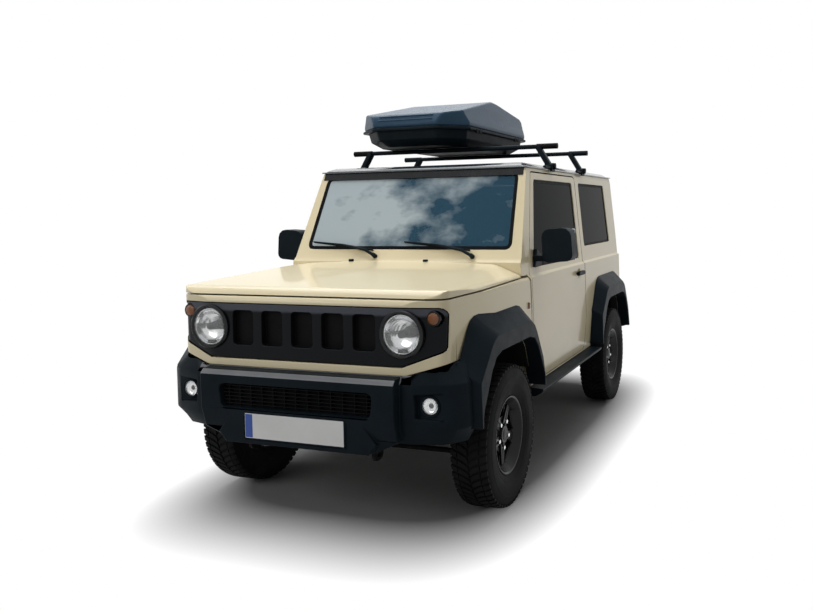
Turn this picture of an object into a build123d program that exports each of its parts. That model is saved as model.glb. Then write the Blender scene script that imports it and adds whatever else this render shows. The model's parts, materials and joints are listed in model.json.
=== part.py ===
"""A compact body-on-frame sport utility vehicle with roof bars and a roof box.

The frame is +Z up, with the nose towards -Y and the left-hand side towards +X.
The origin is on the floor, below the middle of the overall length. Sizes are in millimetres.
"""

import os
from math import cos, pi, radians, sin, tan

from build123d import *

# Overall sizes and the running gear
LENGTH = 3645
WHEELBASE = 2250
FRONT_OVERHANG = 670
TRACK_FRONT, TRACK_REAR = 1395, 1405
TYRE_R, TYRE_W = 346.5, 195
NOSE_Y, TAIL_Y = -LENGTH / 2, LENGTH / 2
AXLE_F = NOSE_Y + FRONT_OVERHANG
AXLE_R = AXLE_F + WHEELBASE
AXLE_Z = TYRE_R
GAP = 6  # clearance all round a panel that opens
SHUT = 4  # shut line round the grille

# Body levels and half widths
SILL_Z, FLOOR_Z, FLOOR_T = 480, 505, 30
REAR_FLOOR_Z, STEP_Y = 565, 750  # the load floor stands higher, behind a step
COWL_Y, COWL_LOW_Z = -786, 1094
CREASE_Z, SHOULDER_Z = 715, 1090
ROOF_EDGE_Z, ROOF_TOP_Z = 1688, 1725
HALF_SILL, HALF_CREASE, HALF_SHOULDER, HALF_BELT, HALF_ROOF = 726, 745, 738, 722, 668
SCREEN_LOW = (-742, 1230)  # y, z of the windscreen's lower edge
SCREEN_HIGH = (-530, 1660)
REAR_Y = 1580  # outer face of the rear body
FIREWALL_Y = -690
HINGE_Y = -658  # front edge of the side doors
DOOR_REAR_Y = 470
WALL = 62  # thickness of the body side and of a door
PILLAR = 55  # thickness of the body above the belt

# Wheel arch openings, about each axle
ARCH_HALF, ARCH_TOP_Z = 440, 800
FLARE_TOP_Z, FLARE_HALF = 978, 822

# Roof bars, and the roof box carried on their right-hand side
BAR_Y = (-60, 660)
BAR_Z, BAR_R, BAR_HALF = 1838, 14, 710
BOX_LOW_Z, BOX_SEAM_Z, BOX_TOP_Z = 1852.5, 1962, 2192
BOX_X0, BOX_X1, BOX_Y0, BOX_Y1 = -530, 205, -400, 890


def corner_points(corners):
    """The points of a closed outline of (a, b) or (a, b, radius, steps) corners.

    A radius rounds its corner with a tangent arc, taken in that many straight steps.
    """
    count = len(corners)
    points = []
    for i, corner in enumerate(corners):
        here = Vector(*corner[:2])
        if len(corner) == 2:
            points.append(here)
            continue
        radius, steps = corner[2:]
        back = (Vector(*corners[i - 1][:2]) - here).normalized()
        ahead = (Vector(*corners[(i + 1) % count][:2]) - here).normalized()
        half = radians(back.get_angle(ahead)) / 2
        reach = radius / tan(half)
        middle = here + (back + ahead).normalized() * (radius / sin(half) - radius)
        bend = ThreePointArc(here + back * reach, middle, here + ahead * reach)
        points += [bend @ (j / steps) for j in range(steps + 1)]
    return points


def outline(corners):
    """A closed plane face inside an outline's points."""
    return Face(Wire.make_polygon(corner_points(corners)))


def prism(axis, corners, low, high, grow=0.0):
    """An outline seen along an axis, moved outwards by grow and extruded along it from low to high.

    The outline's two numbers are (y, z) for axis x, (x, z) for y and (x, y) for z.
    """
    plane = {"x": Plane.YZ, "y": Plane.XZ, "z": Plane.XY}[axis]
    sense = -1 if axis == "y" else 1
    face = outline(corners)
    if grow:
        face = offset(face, amount=grow, kind=Kind.INTERSECTION).faces()[0]
    return extrude(plane.offset(sense * low) * face, amount=high - low, dir=plane.z_dir * sense)


def mirrored(corners):
    """Adds the other half of an outline given from the lower to the upper middle, x first."""
    other = [(-c[0], *c[1:]) for c in reversed(corners) if abs(c[0]) > 1e-9]
    return list(corners) + other


def block(x0, x1, y0, y1, z0, z1):
    """A box between two corners."""
    return Pos((x0 + x1) / 2, (y0 + y1) / 2, (z0 + z1) / 2) * Box(x1 - x0, y1 - y0, z1 - z0)


def rod(start, end, radius, sides=12):
    """A bar between two points, with a number of flats, or round where that is 0."""
    start, end = Vector(*start), Vector(*end)
    plane = Plane(origin=start, z_dir=end - start)
    if sides:
        return extrude(plane * RegularPolygon(radius, sides), (end - start).length)
    return Part() + Solid.make_cylinder(radius, (end - start).length, plane)


def skin(rings):
    """A solid over rings of matching points, in flat faces, closed by the first and the last ring."""
    faces = [Face(Wire.make_polygon(ring)) for ring in (rings[0], rings[-1])]
    for low, high in zip(rings, rings[1:]):
        for i in range(len(low)):
            a, b, c, d = low[i - 1], low[i], high[i], high[i - 1]
            normal = (b - a).cross(d - a).normalized()
            flat = abs(normal.dot(c - a)) < 0.001
            for corners in [(a, b, c, d)] if flat else [(a, b, c), (a, c, d)]:
                faces.append(Face(Wire.make_polygon(corners)))
    return Part() + Solid(Shell(faces))


def ringed(stations, sides, centre=(0, 0, 0), axis="x"):
    """A flat-sided round form through (along, radius) stations, about an axis through centre.

    Each radius is to the middle of a flat, and one flat faces down.
    """
    rings = []
    for along, radius in stations:
        ring = []
        for i in range(sides):
            angle = 2 * pi * (i + 0.5) / sides
            across, up = radius / cos(pi / sides) * sin(angle), -radius / cos(pi / sides) * cos(angle)
            ring.append(Vector(*centre) + Vector(*((along, across, up) if axis == "x" else (across, along, up))))
        rings.append(ring)
    return skin(rings)


def post(x, y, low, high, radius, sides=16):
    """An upright round, with a number of flats."""
    return rod((x, y, low), (x, y, high), radius, sides)


def both_sides(solid):
    """A left-hand piece and its mirror image, as one list of solids."""
    return list(solid.solids()) + list(mirror(solid, Plane.YZ).solids())


def other_side(solid):
    return mirror(solid, Plane.YZ)


# Outer envelopes of the body, each the meeting of a side, a front and a plan outline

CABIN_HALF = [(0, SILL_Z), (HALF_SILL, SILL_Z), (HALF_CREASE, CREASE_Z), (HALF_SHOULDER, SHOULDER_Z - 12),
              (HALF_BELT, SHOULDER_Z), (HALF_ROOF, 1650), (HALF_ROOF - 8, ROOF_EDGE_Z), (0, ROOF_EDGE_Z)]


def screen_y(z):
    """Where the windscreen's plane stands at a height."""
    slope = (SCREEN_HIGH[0] - SCREEN_LOW[0]) / (SCREEN_HIGH[1] - SCREEN_LOW[1])
    return SCREEN_LOW[0] + (z - SCREEN_LOW[1]) * slope


def cabin_form():
    """The outside of the cabin, from the firewall to the rear door, below the roof panel."""
    side = [(FIREWALL_Y, SILL_Z), (FIREWALL_Y, COWL_LOW_Z), (COWL_Y, COWL_LOW_Z), (COWL_Y, 1166),
            (screen_y(1190), 1190),
            (screen_y(ROOF_EDGE_Z), ROOF_EDGE_Z), (REAR_Y - 16, ROOF_EDGE_Z), (REAR_Y, 1120), (REAR_Y, SILL_Z)]
    plan = mirrored([(0, -900), (760, -900), (760, REAR_Y, 70, 4), (0, REAR_Y)])
    form = prism("x", side, -760, 760) & prism("y", mirrored(CABIN_HALF), -800, REAR_Y)
    return form & prism("z", plan, SILL_Z, ROOF_EDGE_Z)


def shell_lines(inset):
    """The three outlines of the bonnet and wings, drawn in by an inset."""
    side = [(NOSE_Y + 75 + inset, 600), (NOSE_Y + 82 + inset, 1052 - inset, 22, 2),
            (NOSE_Y + 128, 1108 - inset, 60, 2), (-792, 1172 - inset), (-600, 1180 - inset), (-600, 600)]
    front = mirrored([(0, SILL_Z), (HALF_SILL - inset, SILL_Z), (HALF_CREASE - inset, CREASE_Z),
                      (HALF_SHOULDER - inset, 1062 - inset), (714 - inset, 1100 - inset, 30, 2),
                      (575, 1158 - inset, 160, 3), (0, 1178 - inset)])
    plan = mirrored([(0, NOSE_Y + 68 + inset), (500, NOSE_Y + 78 + inset, 500, 2),
                     (696 - inset, NOSE_Y + 118 + inset, 62, 3), (745 - inset, -1180), (745 - inset, -600), (0, -600)])
    return side, front, plan


def nose_form(inset=0):
    """The outside of bonnet, wings and nose as one closed form, or that drawn in by an inset."""
    side, front, plan = shell_lines(inset)
    form = prism("x", side, -760, 760) & prism("y", front, NOSE_Y, -600)
    return form & prism("z", plan, SILL_Z, 1200)


def arch_cutter(axle_y, grow=0.0, x0=560, x1=900):
    """What a wheel arch clears: a rounded hexagon, open downwards."""
    half, top = ARCH_HALF + grow, ARCH_TOP_Z + grow
    side = [(axle_y - half, 300), (axle_y - half, 560, 60, 1), (axle_y - 285, top, 150, 2),
            (axle_y + 285, top, 150, 2), (axle_y + half, 560, 60, 1), (axle_y + half, 300)]
    return prism("x", side, x0, x1)


# Side window and door outlines, as (y, z) with corner radii

DOOR_LINE = [(HINGE_Y, 492), (HINGE_Y, 1105, 30, 1), (-458, 1662, 30, 2), (DOOR_REAR_Y, 1662, 30, 3),
             (DOOR_REAR_Y, 492, 60, 4)]
DOOR_WINDOW = [(-572, 1126, 18, 3), (-418, 1622, 28, 3), (392, 1622, 24, 3), (392, 1118, 24, 3)]
QUARTER_WINDOW = [(556, 1190, 26, 3), (556, 1624, 26, 3), (1300, 1624, 26, 3), (1330, 1190, 26, 3)]
SCREEN_OPENING = mirrored([(0, 1232), (647, 1232, 36, 4), (622, 1660, 36, 4), (0, 1660)])


def side_slab(outer, thickness):
    """The left-hand body side's skin, a thickness deep from its outside, inset by outer."""
    shift = [(x - outer, z) for x, z in CABIN_HALF[1:7]]
    inner = [(x - outer - thickness, z) for x, z in CABIN_HALF[1:7]]
    return prism("y", shift + inner[::-1], -900, REAR_Y)


# Tailgate and spare wheel places

TAILGATE = [(-612, 604, 30, 3), (-612, 1100), (-590, 1650, 40, 3), (590, 1650, 40, 3), (612, 1100),
            (612, 604, 30, 3)]
TAILGATE_WINDOW = [(-520, 1170, 40, 4), (-500, 1590, 40, 4), (500, 1590, 40, 4), (520, 1170, 40, 4)]
TAILGATE_T = 66
SPARE_X, SPARE_Z = -60, 945
SPARE_Y = TAIL_Y - TYRE_W / 2


FLOOR_HALF = 590
TUNNEL_IN = [(-180, 400), (-140, 604, 30, 2), (140, 604, 30, 2), (180, 400)]
TUNNEL_OUT = [(-196, FLOOR_Z), (-162, 626, 36, 2), (162, 626, 36, 2), (196, FLOOR_Z)]
TUNNEL_END_Y = 250
INNER_REAR_Y = REAR_Y - 60


def tailgate_hole():
    return prism("y", TAILGATE, REAR_Y - 100, REAR_Y + 50, GAP)


def floor_room():
    """The space that the floor and the firewall take, as seen in the hollow cabin."""
    return (block(-FLOOR_HALF, FLOOR_HALF, -900, INNER_REAR_Y, 400, 690)
            + block(-600, 600, FIREWALL_Y, FIREWALL_Y + 35, 500, COWL_LOW_Z))


def hollow_cabin(cabin):
    """The cabin with its room taken out and all its openings cut, still one piece with its floor."""
    top = FLOOR_Z + FLOOR_T
    hollow_half = [(0, 400), (HALF_SILL - WALL, 400), (HALF_CREASE - WALL, CREASE_Z),
                   (HALF_BELT - WALL, SHOULDER_Z), (HALF_ROOF - PILLAR, 1650), (HALF_ROOF - PILLAR - 10, 1750),
                   (0, 1750)]
    hollow_side = [(FIREWALL_Y + 35, top), (FIREWALL_Y + 35, 1050), (-715, 1160), (screen_y(1170) + 55, 1170),
                   (screen_y(1640) + 55, 1640), (screen_y(1640) + 55, 1800), (INNER_REAR_Y, 1800),
                   (INNER_REAR_Y, REAR_FLOOR_Z + FLOOR_T), (STEP_Y + 20, REAR_FLOOR_Z + FLOOR_T), (STEP_Y, top)]
    under_side = [(-900, 400), (-900, FLOOR_Z), (STEP_Y, FLOOR_Z), (STEP_Y + 20, REAR_FLOOR_Z),
                  (INNER_REAR_Y, REAR_FLOOR_Z), (INNER_REAR_Y, 400)]
    shell = cabin - (prism("x", hollow_side, -700, 700) & prism("y", mirrored(hollow_half), -900, REAR_Y))
    shell -= prism("x", under_side, -FLOOR_HALF, FLOOR_HALF)
    for cutter in (prism("x", DOOR_LINE, 560, 800, GAP), prism("x", QUARTER_WINDOW, 560, 800)):
        shell -= cutter
        shell -= other_side(cutter)
    return shell - prism("y", SCREEN_OPENING, -900, -400) - tailgate_hole()


def body_floor(shell):
    """The pressed floor with its gearbox tunnel, rear wheel housings and firewall."""
    floor = shell & floor_room()
    floor -= prism("y", TUNNEL_IN, -700, TUNNEL_END_Y - 20)
    floor += prism("y", TUNNEL_OUT, FIREWALL_Y + 20, TUNNEL_END_Y) - prism("y", TUNNEL_IN, -700, TUNNEL_END_Y - 20)
    housing = arch_cutter(AXLE_R, 24, 556, HALF_SILL - WALL - 4) - block(0, 900, 0, REAR_Y, 200, FLOOR_Z)
    floor += housing
    floor += other_side(housing)
    wheel_room = arch_cutter(AXLE_R, 0, 574, 900)
    return floor - wheel_room - other_side(wheel_room) - tailgate_hole()


HINGE_HEIGHTS, HINGE_R = (700, 1040), 11
TAILGATE_PIN = (-640, REAR_Y + 30)


def hinge_barrels(low, high):
    """The parts of the tailgate's two hinge barrels that lie between two heights above each one's foot."""
    x, y = TAILGATE_PIN
    return [rod((x, y, foot + low), (x, y, foot + high), HINGE_R, 0) for foot in HINGE_HEIGHTS]


def body_shell(shell, floor, wings):
    """Body sides, pillars, screen frame, cowl and rear frame, with the fixed halves of the hinges."""
    wheel_room = arch_cutter(AXLE_R, 0, 560, 900)
    rail_room = block(-RAIL_X - 70, RAIL_X + 70, INNER_REAR_Y - 1, REAR_Y + 1, 400, 557)
    for cutter in (floor_room(), floor, wheel_room, other_side(wheel_room), wings, rail_room):
        shell -= cutter
    x, y = TAILGATE_PIN
    for low, high in ((-21, -1), (41, 61)):
        for foot, barrel in zip(HINGE_HEIGHTS, hinge_barrels(low, high)):
            shell += barrel + block(x - 40, x - 2, REAR_Y - 4, y + 4, foot + low, foot + high)
    return shell


def side_glass(corners):
    """A pane 5 mm thick, set 8 mm inside the body side, seated in its opening."""
    return prism("x", corners, 560, 800, -0.5) & side_slab(8, 5)


def windscreen():
    pane = prism("x", [(screen_y(1100) + 6, 1100), (screen_y(1800) + 6, 1800), (screen_y(1800) + 12, 1800),
                       (screen_y(1100) + 12, 1100)], -700, 700)
    return pane & prism("y", SCREEN_OPENING, -900, -400, -0.5)


def roof_panel():
    """The roof skin with its rounded front edge, slight crown and drip rails along both sides."""
    side = [(screen_y(1688) - 14, ROOF_EDGE_Z), (screen_y(1700) - 10, 1704, 10, 1), (-452, ROOF_TOP_Z - 4, 90, 2),
            (500, ROOF_TOP_Z + 4), (1500, ROOF_TOP_Z - 6, 90, 2), (REAR_Y - 4, 1700, 12, 1), (REAR_Y - 8, ROOF_EDGE_Z)]
    rail = HALF_ROOF + 4
    front = mirrored([(0, ROOF_EDGE_Z), (rail, ROOF_EDGE_Z), (rail, 1697), (640, 1697), (612, 1722, 26, 2), (0, 1732)])
    plan = mirrored([(0, -900), (760, -900), (760, REAR_Y - 4, 70, 4), (0, REAR_Y - 4)])
    roof = prism("x", side, -760, 760) & prism("y", front, -800, REAR_Y + 20)
    roof = roof & prism("z", plan, 1600, 1800)
    # Hollow underside, above the headlining
    return roof - block(-590, 590, -430, 1500, 1600, 1708)


def door(cabin):
    """The whole left door, as thick as its frame, with the window cut and a pull recess."""
    leaf = side_slab(0, WALL) & cabin & prism("x", DOOR_LINE, 560, 800)
    leaf -= prism("x", DOOR_WINDOW, 560, 800)
    return leaf - ringed([(HALF_SHOULDER - 8, 30), (HALF_SHOULDER + 12, 30)], 16, (0, 312, 1022))


MIRROR = [(782, 1152, 34, 3), (774, 1338, 44, 3), (942, 1350, 50, 3), (954, 1166, 34, 3)]
MIRROR_FRONT_Y, MIRROR_REAR_Y = -612, -500


def door_fittings():
    """The left door's mirror, on its arm at the front corner of the window, and its pull handle."""
    housing = prism("y", MIRROR, MIRROR_FRONT_Y, MIRROR_REAR_Y)
    housing -= prism("y", MIRROR, MIRROR_REAR_Y - 6, MIRROR_REAR_Y + 10, -10)
    arm = block(700, 790, -585, -535, 1160, 1192)
    foot = prism("x", [(-596, 1128), (-470, 1128), (-470, 1190), (-560, 1230)], 700, HALF_BELT + 12)
    mirror_piece = (arm + foot - side_slab(-1, WALL)) + housing
    handle = prism("x", [(235, 1010, 10, 2), (235, 1036, 10, 2), (390, 1036, 10, 2), (390, 1010, 10, 2)],
                   HALF_SHOULDER + 12, HALF_SHOULDER + 28)
    for y in (242, 366):
        handle += block(HALF_SHOULDER + 2, HALF_SHOULDER + 14, y, y + 18, 1014, 1032)
    handle -= side_slab(-0.5, WALL)
    return list(mirror_piece.solids()) + list(handle.solids())


def tailgate(cabin):
    """The rear door, hinged on the right, with its window cut and the spare wheel's carrier."""
    gate = prism("y", TAILGATE, REAR_Y - TAILGATE_T, REAR_Y + 10) & cabin
    gate -= prism("y", TAILGATE_WINDOW, REAR_Y - 200, REAR_Y + 100)
    carrier = [(-200, 860, 20, 2), (-200, 1030, 20, 2), (80, 1030, 20, 2), (80, 860, 20, 2)]
    gate += prism("y", carrier, REAR_Y - 4, REAR_Y + 44)
    hub_y = REAR_Y + 40
    reach = SPARE_Y - 60 - hub_y
    gate += ringed([(0, 62), (reach, 62)], 16, (SPARE_X, hub_y, SPARE_Z), "y")
    gate += block(500, 590, REAR_Y - 4, REAR_Y + 22, 985, 1022)
    x, y = TAILGATE_PIN
    for foot, barrel in zip(HINGE_HEIGHTS, hinge_barrels(0, 40)):
        gate += barrel + block(x, x + 110, y - 5, y + 5, foot, foot + 40)
        gate += block(x + 50, x + 110, REAR_Y - 4, y + 5, foot, foot + 40)
    return gate


def tailgate_glass():
    pane = [(REAR_Y - 4, 1120), (REAR_Y - 20, ROOF_EDGE_Z), (REAR_Y - 26, ROOF_EDGE_Z), (REAR_Y - 10, 1120)]
    return prism("x", pane, -600, 600) & prism("y", TAILGATE_WINDOW, REAR_Y - 100, REAR_Y + 20, -0.5)


# Bonnet, wings and nose

BONNET_REAR_Y = -794
SHUT_FRONT_Z, SHUT_REAR_Z = 1070, 1088  # the clamshell's lower edge
GRILLE_OPENING = mirrored([(0, 776), (500, 776, 30, 2), (694, 848, 24, 2), (698, 1036, 30, 3), (0, 1038)])
NOSE_UNDERSIDE = mirrored([(0, 300), (800, 300), (800, 830), (742, 806), (520, 742, 30, 1), (0, 742)])


def bonnet(form):
    """The clamshell bonnet, a hollow lid above the shut line."""
    above = [(-1900, SHUT_FRONT_Z), (BONNET_REAR_Y, SHUT_REAR_Z), (BONNET_REAR_Y, 1300), (-1900, 1300)]
    under = nose_form(26) - block(-800, 800, BONNET_REAR_Y - 36, -500, 400, 1300)
    return (form & prism("x", above, -760, 760)) - under


def front_wings(form):
    """Both wings and the painted frame round the grille: the shell below the bonnet."""
    end_y = HINGE_Y - GAP - 2
    below = [(-1900, 500), (-1900, SHUT_FRONT_Z - GAP), (BONNET_REAR_Y, SHUT_REAR_Z - GAP),
             (end_y, SHUT_REAR_Z - GAP), (end_y, 500)]
    shell = form & prism("x", below, -760, 760)
    shell -= nose_form(26)
    shell -= block(-690, 690, -1640, -500, 300, 1300)
    arch = arch_cutter(AXLE_F, 0, 500, 900)
    shell -= arch
    shell -= other_side(arch)
    shell -= prism("y", GRILLE_OPENING, -2000, -1600)
    return shell - prism("y", NOSE_UNDERSIDE, -2000, -1560)


# Lamps, as x, y, z, radius on the left-hand side

HEADLAMP = (505, -1744, 922, 99)
TURN_LAMP = (650, -1722, 990, 33)
FOG_LAMP = (632, -1734, 618, 38)
SLOT_PITCH, SLOT_W, SLOTS = 160, 112, 5
LAMP_SIDES = 20


def grille():
    """The black face panel with five upright slots and round pockets for the lamps."""
    panel = nose_form(3) - nose_form(66)
    panel = panel & prism("y", GRILLE_OPENING, -1900, -1600, -SHUT)
    half = SLOT_W / 2
    slot = [(-half, 842, 16, 2), (-half, 1002, 16, 2), (half, 1002, 16, 2), (half, 842, 16, 2)]
    for i in range(SLOTS):
        panel -= Pos((i - (SLOTS - 1) / 2) * SLOT_PITCH, 0, 0) * prism("y", slot, -1900, -1708)
    for x, y, z, r in (HEADLAMP, TURN_LAMP):
        for side in (x, -x):
            panel -= ringed([(-150, r + 1), (150, r + 1)], LAMP_SIDES, (side, y, z), "y")
    return panel


def lamp(place, bowl, dome):
    """A round lamp: a bowl behind a domed lens, on the left and on the right."""
    x, y, z, r = place
    stations = [(-4 - dome, r * 0.3), (-4 - dome * 0.6, r * 0.72), (-4, r), (8, r), (bowl, r * 0.6)]
    return both_sides(ringed(stations, LAMP_SIDES, (x, y, z), "y"))


# Bumpers, sills and arch flares

BUMPER_TOP_Z, BUMPER_LOW_Z = 738, 400
BUMPER_BACK_Y = AXLE_F - ARCH_HALF
BUMPER_CENTRE_HALF, CHEEK_SET_BACK, BUMPER_WALL = 503, 48, 45
PLATE_Y = NOSE_Y + 4
PLATE_HALF, PLATE_LOW_Z, PLATE_TOP_Z = 266, 425, 556
OPENING_HALF, OPENING_LOW_Z, OPENING_TOP_Z, OPENING_DEPTH = 400, 566, 676, 44


def cheek_line(inset):
    """The bumper's outline from above without its middle, drawn in by an inset."""
    front = NOSE_Y + CHEEK_SET_BACK + inset
    return mirrored([(0, front), (560 - inset / 3, front + 4), (690 - inset / 2, front + 36),
                     (744 - inset, front + 68), (774 - inset, front + 112), (790 - inset, BUMPER_BACK_Y),
                     (0, BUMPER_BACK_Y)])


def front_bumper(nose, flares):
    """The moulded bumper: a proud middle with the air opening and plate seat, and cheeks for the fog lamps."""
    # z and inset of the cheeks, from the tucked-in foot to the sloping ledge below the grille
    layers = [(440, 45), (520, 0), (712, 0), (808, 60)]
    form = skin([[Vector(x, y, z) for x, y in cheek_line(inset)] for z, inset in layers])
    form -= prism("z", cheek_line(BUMPER_WALL), 300, 690)
    middle_side = [(NOSE_Y + 62, BUMPER_TOP_Z + 2), (NOSE_Y + 20, BUMPER_TOP_Z - 2), (NOSE_Y, 716), (NOSE_Y, 562),
                   (NOSE_Y + 26, 470), (NOSE_Y + 60, BUMPER_LOW_Z), (NOSE_Y + 95, BUMPER_LOW_Z),
                   (NOSE_Y + 95, BUMPER_TOP_Z + 2)]
    middle_front = mirrored([(0, BUMPER_LOW_Z), (380, BUMPER_LOW_Z, 30, 2), (BUMPER_CENTRE_HALF, 462),
                             (BUMPER_CENTRE_HALF, 760), (0, 760)])
    form += prism("x", middle_side, -600, 600) & prism("y", middle_front, NOSE_Y - 10, -1600)
    form += prism("y", mirrored([(0, 404), (372, 404), (412, 452), (330, 548), (0, 548)]), NOSE_Y + 8, NOSE_Y + 70)
    air = [(0, OPENING_LOW_Z), (OPENING_HALF - 14, OPENING_LOW_Z, 20, 2), (OPENING_HALF, OPENING_TOP_Z, 24, 2),
           (0, OPENING_TOP_Z)]
    form -= prism("y", mirrored(air), -1900, NOSE_Y + OPENING_DEPTH)
    form += block(-PLATE_HALF, PLATE_HALF, PLATE_Y, NOSE_Y + 60, PLATE_LOW_Z, PLATE_TOP_Z)
    x, y, z, r = FOG_LAMP
    pocket = [(x - 58, z - 52), (x - 62, z + 50), (x + 66, z + 56), (x + 96, z - 10), (x + 58, z - 58)]
    for flip in (1, -1):
        form -= prism("y", [(flip * a, b) for a, b in pocket], -1900, y)
        form -= ringed([(-60, r + 1), (80, r + 1)], LAMP_SIDES, (flip * x, y, z), "y")
    form -= prism("y", mirrored([(0, 742), (520, 742), (742, 806), (900, 806), (900, 900), (0, 900)]), -1900, -1500)
    form -= nose
    for flare in flares:
        form -= flare
    return form


# y from the axle, z and corner radius, going over the wheel from front to rear
FLARE_ROOT = [(-490, 760), (-330, 985, 150, 3), (300, 985, 150, 3), (470, 700, 100, 2), (490, 500)]
FLARE_LIP = [(-470, 700), (-290, 880, 150, 3), (270, 880, 150, 3), (415, 660, 100, 2), (465, 500)]


def arch_flares(cabin, nose):
    """Four moulded flares, each spreading from the body side to its lip round the wheel opening."""
    flares = []
    for axle_y in (AXLE_F, AXLE_R):
        rings = []
        for x, corners in ((HALF_SILL - 10, FLARE_ROOT), (FLARE_HALF, FLARE_LIP)):
            closed = [(corners[0][0] + 10, 500)] + corners
            rings.append([Vector(x, axle_y + p.X, p.Y) for p in corner_points(closed)])
        flare = skin(rings)
        flare -= arch_cutter(axle_y, 0, 500, 900)
        flare -= cabin
        flare -= nose
        flares += both_sides(flare)
    return flares


def side_sills():
    section = [(690, 432), (762, 432, 20, 2), (806, 458, 12, 1), (806, 474), (760, SILL_Z - 1), (690, SILL_Z - 1)]
    return both_sides(prism("y", section, AXLE_F + ARCH_HALF + 6, AXLE_R - ARCH_HALF - 6))


def rear_bumper(flares):
    plan = mirrored([(0, 1560), (806, 1560), (806, 1600, 30, 2), (760, 1657, 50, 2), (0, 1657.5)])
    front = mirrored([(0, 430), (560, 430, 60, 2), (806, 500, 30, 2), (806, 594, 12, 1), (0, 594)])
    form = prism("z", plan, 300, 900) & prism("y", front, 1500, 1700)
    form -= block(-752, 752, 1500, 1600, 300, 700)
    for x in (-630, 630):
        form -= block(x - 110, x + 110, 1622, 1700, 470, 560)
    for flare in flares:
        form -= flare
    return form


def rear_lamps():
    return both_sides(block(522, 738, 1622, 1654, 472, 558))


# Chassis

RAIL_X, RAIL_W = 330, 60
RAIL_TOP = [(-1700, 495), (810, 495), (970, 555), (1580, 555)]
RAIL_FOOT = [(1580, 475), (990, 475), (830, 415), (-1700, 415)]
INNER = RAIL_X - RAIL_W / 2
# y from, y to, z from, z to
CROSSMEMBERS = [(-1680, -1620, 425, 485), (-1350, -1300, 425, 485), (250, 300, 442, 490), (880, 930, 470, 520),
                (1520, 1580, 485, 545)]
# The one under the gearbox dips below the shafts
DROPPED_MEMBER = [(0, 322), (184, 322), (226, 425), (INNER, 425), (INNER, 465), (206, 465), (166, 350), (0, 350)]
OUTRIGGER_Y = (-600, 560)
SPRING_X, SPRING_R = 470, 55
FRONT_SPRING_TOP, REAR_SPRING_TOP = 640, 545


def chassis_rails():
    """The two box rails, each with its bumper bracket, outriggers, engine mount and spring seats."""
    left = prism("x", RAIL_TOP + RAIL_FOOT, INNER, RAIL_X + RAIL_W / 2)
    left += block(290, 370, NOSE_Y + CHEEK_SET_BACK + BUMPER_WALL + 4, -1700, 430, 485)
    for y in OUTRIGGER_Y:
        left += block(RAIL_X, 588, y - 30, y + 30, 440, FLOOR_Z)
    left += block(200, RAIL_X, -1270, -1190, 480, 560)
    for y, top in ((AXLE_F, FRONT_SPRING_TOP), (AXLE_R, REAR_SPRING_TOP)):
        seat = [(300, y - 65), (SPRING_X + 60, y - 65), (SPRING_X + 60, y + 60), (SPRING_X + 25, y + 125),
                (300, y + 125)]
        left += prism("z", seat, top, top + 10)
    left += block(350, 360, AXLE_F - 65, AXLE_F + 125, 490, FRONT_SPRING_TOP + 4)
    return both_sides(left)


def crossmembers():
    """The members between the rails, each a solid of its own."""
    members = [block(-INNER, INNER, y0, y1, z0, z1) for y0, y1, z0, z1 in CROSSMEMBERS]
    return members + [prism("y", mirrored(DROPPED_MEMBER), -640, -590)]


# y from, y to, top z and how many, left first: the exhaust takes the place of the fourth
TOW_EYES = [(-1700, -1620, 415, 2), (1520, 1580, 475, 1)]


def tow_eyes():
    """Plates with a hole for a shackle, under the ends of the rails."""
    plates = []
    for y0, y1, top, count in TOW_EYES:
        side = [(y0, top), (y1, top), (y1, top - 80, 30, 3), (y0, top - 80, 30, 3)]
        plate = prism("x", side, RAIL_X - 8, RAIL_X + 8)
        plate -= rod((RAIL_X - 20, (y0 + y1) / 2, top - 48), (RAIL_X + 20, (y0 + y1) / 2, top - 48), 15, 0)
        plates += both_sides(plate)[:count]
    return plates


DIFF_FRONT_X, DIFF_REAR_X, DIFF_R = -180, -120, 115
PIN_X = 610  # steering pins
EAR_Z, EAR_T, EAR_R = 62, 14, 28
FLANGE_X = {"front": 654, "rear": 659}


def axle_housing(diff_x, y, half):
    """The axle tube with its bulging differential."""
    housing = rod((-half, y, AXLE_Z), (half, y, AXLE_Z), 38)
    stations = [(-DIFF_R * 0.75, 60), (-DIFF_R * 0.3, DIFF_R), (DIFF_R * 0.3, DIFF_R), (DIFF_R * 0.75, 60)]
    return housing + ringed(stations, 16, (diff_x, y, AXLE_Z), "y")


def front_axle():
    """The front axle with a fork at each end for the steering knuckle's pins."""
    half = PIN_X - 46
    axle = axle_housing(DIFF_FRONT_X, AXLE_F, half)
    reach = EAR_Z + EAR_T
    fork = block(half - 26, half, AXLE_F - 30, AXLE_F + 30, AXLE_Z - reach, AXLE_Z + reach)
    for z in (AXLE_Z - reach, AXLE_Z + EAR_Z):
        fork += block(half - 2, PIN_X, AXLE_F - EAR_R, AXLE_F + EAR_R, z, z + EAR_T)
        fork += post(PIN_X, AXLE_F, z, z + EAR_T, EAR_R)
    seat = block(SPRING_X - 58, SPRING_X + 58, AXLE_F - 45, AXLE_F + 45, AXLE_Z + 30, AXLE_Z + 44)
    return axle + fork + other_side(fork) + seat + other_side(seat)


def rear_axle():
    axle = axle_housing(DIFF_REAR_X, AXLE_R, FLANGE_X["rear"])
    end = rod((FLANGE_X["rear"] - 16, AXLE_R, AXLE_Z), (FLANGE_X["rear"], AXLE_R, AXLE_Z), 66)
    end += rod((FLANGE_X["rear"], AXLE_R, AXLE_Z), (FLANGE_X["rear"] + 40, AXLE_R, AXLE_Z), SPINDLE_R, 0)
    seat = block(SPRING_X - 58, SPRING_X + 58, AXLE_R - 45, AXLE_R + 45, AXLE_Z + 30, AXLE_Z + 44)
    return axle + end + other_side(end) + seat + other_side(seat)


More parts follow.
